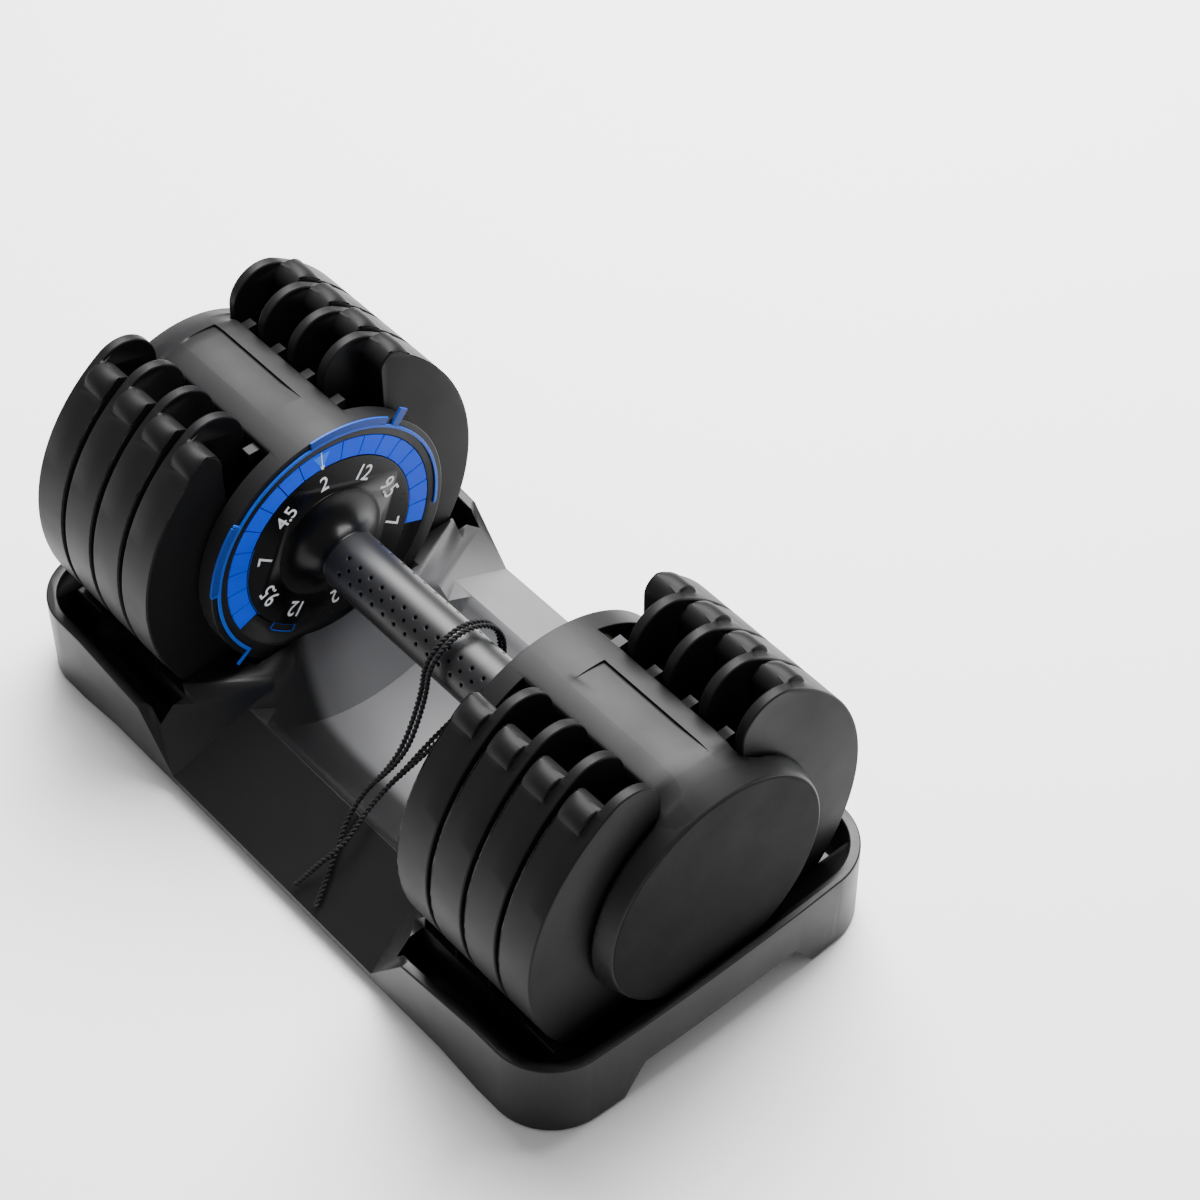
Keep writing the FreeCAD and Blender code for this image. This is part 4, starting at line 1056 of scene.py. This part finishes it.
# ------------------------------------------------------------------ the handle
@dataclass
class Grip:
    """The grip: a satin tube with three bands of small dimples along it."""

    finishes: Finishes
    radius: float = 14.5 * MM
    bore: float = 9.05 * MM
    half: float = 60 * MM
    bands: tuple[float, ...] = (135.5, 24.5, 260.0)
    row_turn: float = 17.5
    pitch: float = 7.7 * MM
    per_row: int = 14
    first: float = -50.8 * MM
    dimple: float = 0.95 * MM
    depth: float = 0.75 * MM
    step: float = 0.5 * MM

    def dimples(self) -> list[Vector]:
        """Place the dimples: three rows a band, the middle row half a pitch along.

        Returns:
            The middle of each dimple, on the tube's surface.
        """
        spots = []
        for band in self.bands:
            for row in (-1, 0, 1):
                late = 0.5 if row == 0 else 0.0
                for k in range(self.per_row):
                    x = self.first + (k + late) * self.pitch
                    spots.append(polar(x, self.radius, band + row * self.row_turn))
        return spots

    def build(self) -> None:
        """Turn the tube and press the dimples into it."""
        bm = bmesh.new()
        count = round(2 * self.half / self.step)
        profile = [polar(-self.half, self.bore, 0)]
        profile += [polar(-self.half + k * self.step, self.radius, 0) for k in range(count + 1)]
        profile.append(polar(self.half, self.bore, 0))
        points = [bm.verts.new(spot) for spot in profile]
        edges = [bm.edges.new(pair) for pair in zip(points, points[1:] + points[:1])]
        around = round(2 * math.pi * self.radius / self.step)
        bmesh.ops.spin(bm, geom=[*points, *edges], cent=(0, 0, AXIS), axis=(1, 0, 0),
                       angle=2 * math.pi, steps=around, use_merge=True)
        closed(bm)
        self.press(bm)
        new_piece("grip_tube", to_mesh(bm, "grip_tube", 50), "handle", self.finishes.grip,
                  "grip_coat", "grip_sleeve")

    def press(self, bm: Bmesh) -> None:
        """Press every dimple into the tube as a shallow bowl, and note how deep each point is.

        Args:
            bm: the tube.
        """
        layer = bm.verts.layers.float.new("pit")
        bm.verts.ensure_lookup_table()
        finder = KDTree(len(bm.verts))
        for vertex in bm.verts:
            finder.insert(vertex.co, vertex.index)
        finder.balance()
        for spot in self.dimples():
            inward = Vector((0, spot.y, spot.z - AXIS)).normalized()
            for _, index, distance in finder.find_range(spot, self.dimple):
                bowl = 1 - (distance / self.dimple) ** 2
                bm.verts[index].co -= inward * self.depth * bowl
                bm.verts[index][layer] = bowl


# ------------------------------------------------------------------ hidden pieces
@dataclass
class Works:
    """The pieces inside: shaft, discs, beam, locks and fasteners keep their CAD shapes."""

    finishes: Finishes

    def build(self) -> None:
        """Dress each CAD node that still shows."""
        by_start = {
            "selector": self.finishes.nylon,
            "flange_bushes": self.finishes.bronze,
            "end_bushes": self.finishes.bronze,
            "bridge_beam": self.finishes.zinc,
            "end_plate": self.finishes.zinc,
            "lock_slider": self.finishes.zinc,
            "lock_wheel": self.finishes.zinc,
        }
        for name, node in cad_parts.items():
            if node.hide_render:
                continue
            finish = next((value for start, value in by_start.items() if name.startswith(start)),
                          self.finishes.steel)
            node.data.materials.clear()
            node.data.materials.append(finish)


# ------------------------------------------------------------------ the hang cord
@dataclass
class HangCord:
    """The hang cord: two twisted strands, looped over the grip, with both tails on the tray."""

    finishes: Finishes
    diameter: float = 2.8 * MM
    strand_radius: float = 0.78 * MM
    strand_offset: float = 0.6 * MM
    twist_pitch: float = 4.6 * MM
    side_gap: float = 3.0 * MM
    side_ramp: float = 0.16
    corners: int = 8
    length: float = 0.326
    crossing: tuple[int, int] = (6, 22)
    route: tuple[tuple[float, float, float], ...] = (
        (0.0306, -0.0956, 0.0130),
        (0.0280, -0.0896, 0.0172),
        (0.0248, -0.0832, 0.0216),
        (0.0214, -0.0766, 0.0261),
        (0.0178, -0.0694, 0.0314),
        (0.0154, -0.0610, 0.0394),
        (0.0166, -0.0530, 0.0480),
        (0.0206, -0.0456, 0.0570),
        (0.0222, -0.0374, 0.0680),
        (0.0202, -0.0286, 0.0800),
        (0.0176, -0.0216, 0.0910),
        (0.0168, -0.0194, 0.1020),
        (0.0170, -0.0108, 0.1114),
        (0.0176, 0.0016, 0.1146),
        (0.0186, 0.0132, 0.1100),
        (0.0196, 0.0198, 0.0992),
        (0.0206, 0.0196, 0.0870),
        (0.0220, 0.0120, 0.0768),
        (0.0240, 0.0000, 0.0724),
        (0.0256, -0.0130, 0.0694),
        (0.0256, -0.0260, 0.0646),
        (0.0252, -0.0376, 0.0576),
        (0.0234, -0.0480, 0.0498),
        (0.0226, -0.0572, 0.0436),
        (0.0240, -0.0652, 0.0389),
        (0.0256, -0.0724, 0.0360),
        (0.0246, -0.0788, 0.0318),
        (0.0220, -0.0848, 0.0270),
        (0.0186, -0.0904, 0.0196),
        (0.0156, -0.0956, 0.0136),
    )

    def centreline(self) -> list[Vector]:
        """Run the smooth curve along the route and read points off it.

        Returns:
            The points, from one tail's end to the other's.
        """
        curve = bpy.data.curves.new("cord_line", "CURVE")
        curve.dimensions = "3D"
        curve.resolution_u = 12
        spline = curve.splines.new("NURBS")
        spline.points.add(len(self.route) - 1)
        for point, spot in zip(spline.points, self.route):
            point.co = (*spot, 1.0)
        spline.order_u = 3
        spline.use_endpoint_u = True
        holder = bpy.data.objects.new("cord_line", curve)
        line = bpy.data.meshes.new_from_object(holder)
        points = [vertex.co.copy() for vertex in line.vertices]
        bpy.data.objects.remove(holder)
        bpy.data.meshes.remove(line)
        return points

    def doubled(self, points: list[Vector]) -> list[Vector]:
        """Find the line of the cord's second pass over the grip, beside the first one.

        Args:
            points: the first pass's centreline, read off the route's curve.

        Returns:
            The second pass's centreline: it leaves the first one at the crossing and comes back
            to it.
        """
        spots = [Vector(self.route[number]) for number in self.crossing]
        first, last = (min(range(len(points)), key=lambda i: (points[i] - spot).length)
                       for spot in spots)
        beside = []
        for index in range(first, last + 1):
            share = (index - first) / (last - first)
            ramp = min(1.0, share / self.side_ramp, (1 - share) / self.side_ramp)
            out = self.side_gap * ramp * ramp * (3 - 2 * ramp)
            beside.append(points[index] + Vector((out, 0, 0)))
        return beside

    def build(self) -> None:
        points = self.centreline()
        for name, line, replaced in (("hang_cord_twisted", points, ("hang_cord",)),
                                     ("hang_cord_second_pass", self.doubled(points), ())):
            bm = bmesh.new()
            for phase in (0.0, math.pi):
                self.add_strand(bm, line, phase)
            closed(bm)
            new_piece(name, to_mesh(bm, name, 60), "dumbbell", self.finishes.cord,
                                    "cord_fabric", *replaced)
        length = sum((b - a).length for a, b in zip(points, points[1:]))
        LOG.info("cord length %.4f, nearest to the grip's axis %.4f", length,
                 min(math.hypot(spot.y, spot.z - AXIS) for spot in points))

    def add_strand(self, bm: Bmesh, points: list[Vector], phase: float) -> None:
        """Add one strand that winds round the centreline.

        Args:
            bm: the mesh to add to.
            points: the centreline.
            phase: the strand's angle round the centreline at its start.
        """
        rings = []
        along = 0.0
        normal = Vector((0, 0, 1))
        for index, point in enumerate(points):
            before, after = points[max(index - 1, 0)], points[min(index + 1, len(points) - 1)]
            tangent = (after - before).normalized()
            if index:
                along += (point - points[index - 1]).length
            normal = (normal - tangent * normal.dot(tangent)).normalized()
            side = tangent.cross(normal)
            angle = phase + 2 * math.pi * along / self.twist_pitch
            offset = (normal * math.cos(angle) + side * math.sin(angle)) * self.strand_offset
            ring = []
            for corner in range(self.corners):
                turn = 2 * math.pi * corner / self.corners
                outward = normal * math.cos(turn) + side * math.sin(turn)
                ring.append(bm.verts.new(point + offset + outward * self.strand_radius))
            rings.append(ring)
        for one, two in zip(rings, rings[1:]):
            for corner in range(self.corners):
                after = (corner + 1) % self.corners
                bm.faces.new((one[corner], one[after], two[after], two[corner]))
        bm.faces.new(rings[0])
        bm.faces.new(rings[-1])


# ------------------------------------------------------------------ floor, light and camera
@dataclass
class Studio:
    """A pale floor, one soft light in a pale room, and the camera."""

    azimuth: float = 49.0
    elevation: float = 47.7
    distance: float = 1.379
    aside: float = 0.0716
    above: float = 0.0154
    lens: float = 95.24
    floor_half: float = 6.0
    room_strength: float = 0.5
    key_spot: tuple[float, float, float] = (-0.45, 0.7, 1.45)
    key_size: float = 1.3
    key_power: float = 140

    def floor(self) -> None:
        """Lay the floor."""
        bm = bmesh.new()
        bmesh.ops.create_grid(bm, x_segments=1, y_segments=1, size=self.floor_half)
        piece = bpy.data.objects.new("floor", to_mesh(bm, "floor"))
        material, tree, shader, place = begin("floor_paper_white")
        tree.links.new(blend_colours(tree, drift(tree, place, 0.5, 0, 1), "#f4f4f4", "#f1f1f1"),
                       shader.inputs["Base Color"])
        shader.inputs["Roughness"].default_value = 0.9
        piece.data.materials.append(material)
        bpy.context.scene.collection.objects.link(piece)

    def light(self, name: str, spot: tuple[float, float, float], size: float,
              power: float) -> None:
        """Hang one square light that looks at the dumbbell.

        Args:
            name: the light's name.
            spot: where it hangs.
            size: the length of its side.
            power: its power in watts.
        """
        lamp = bpy.data.lights.new(name, "AREA")
        lamp.shape = "SQUARE"
        lamp.size = size
        lamp.energy = power
        holder = bpy.data.objects.new(name, lamp)
        holder.location = spot
        aim = Vector((0, 0, AXIS)) - Vector(spot)
        holder.rotation_euler = aim.to_track_quat("-Z", "Y").to_euler()
        bpy.context.scene.collection.objects.link(holder)

    def camera(self) -> None:
        """Set the camera up: it looks down on the near head, from the +X and -Y side."""
        turn, rise = math.radians(self.azimuth), math.radians(self.elevation)
        back = Vector((math.sin(turn) * math.cos(rise), -math.cos(turn) * math.cos(rise),
                       math.sin(rise)))
        right = Vector((math.cos(turn), math.sin(turn), 0))
        upward = back.cross(right)
        data = bpy.data.cameras.new("camera")
        data.lens = self.lens
        data.sensor_width = 36
        holder = bpy.data.objects.new("camera", data)
        holder.location = (Vector((0, 0, AXIS)) + back * self.distance + right * self.aside
                           + upward * self.above)
        holder.rotation_euler = Matrix((right, upward, back)).transposed().to_euler()
        bpy.context.scene.collection.objects.link(holder)
        bpy.context.scene.camera = holder

    def build(self) -> None:
        """Build the studio."""
        self.camera()
        self.floor()
        world = bpy.data.worlds.new("studio")
        world.use_nodes = True
        glow = world.node_tree.nodes["Background"].inputs
        glow["Color"].default_value = linear("#ffffff")
        glow["Strength"].default_value = self.room_strength
        bpy.context.scene.world = world
        self.light("key", self.key_spot, self.key_size, self.key_power)


def main() -> None:
    """Build everything in order."""
    logging.basicConfig(level=logging.INFO, format="%(name)s: %(message)s")
    Studio().build()
    finishes = Finishes()
    HangCord(finishes).build()
    Tray(finishes).build()
    WeightPlates(finishes).build()
    for head in Head:
        Casing(finishes, head).build()
        DialFace(finishes, head).build()
    Grip(finishes).build()
    Works(finishes).build()


if __name__ == "__main__":
    main()
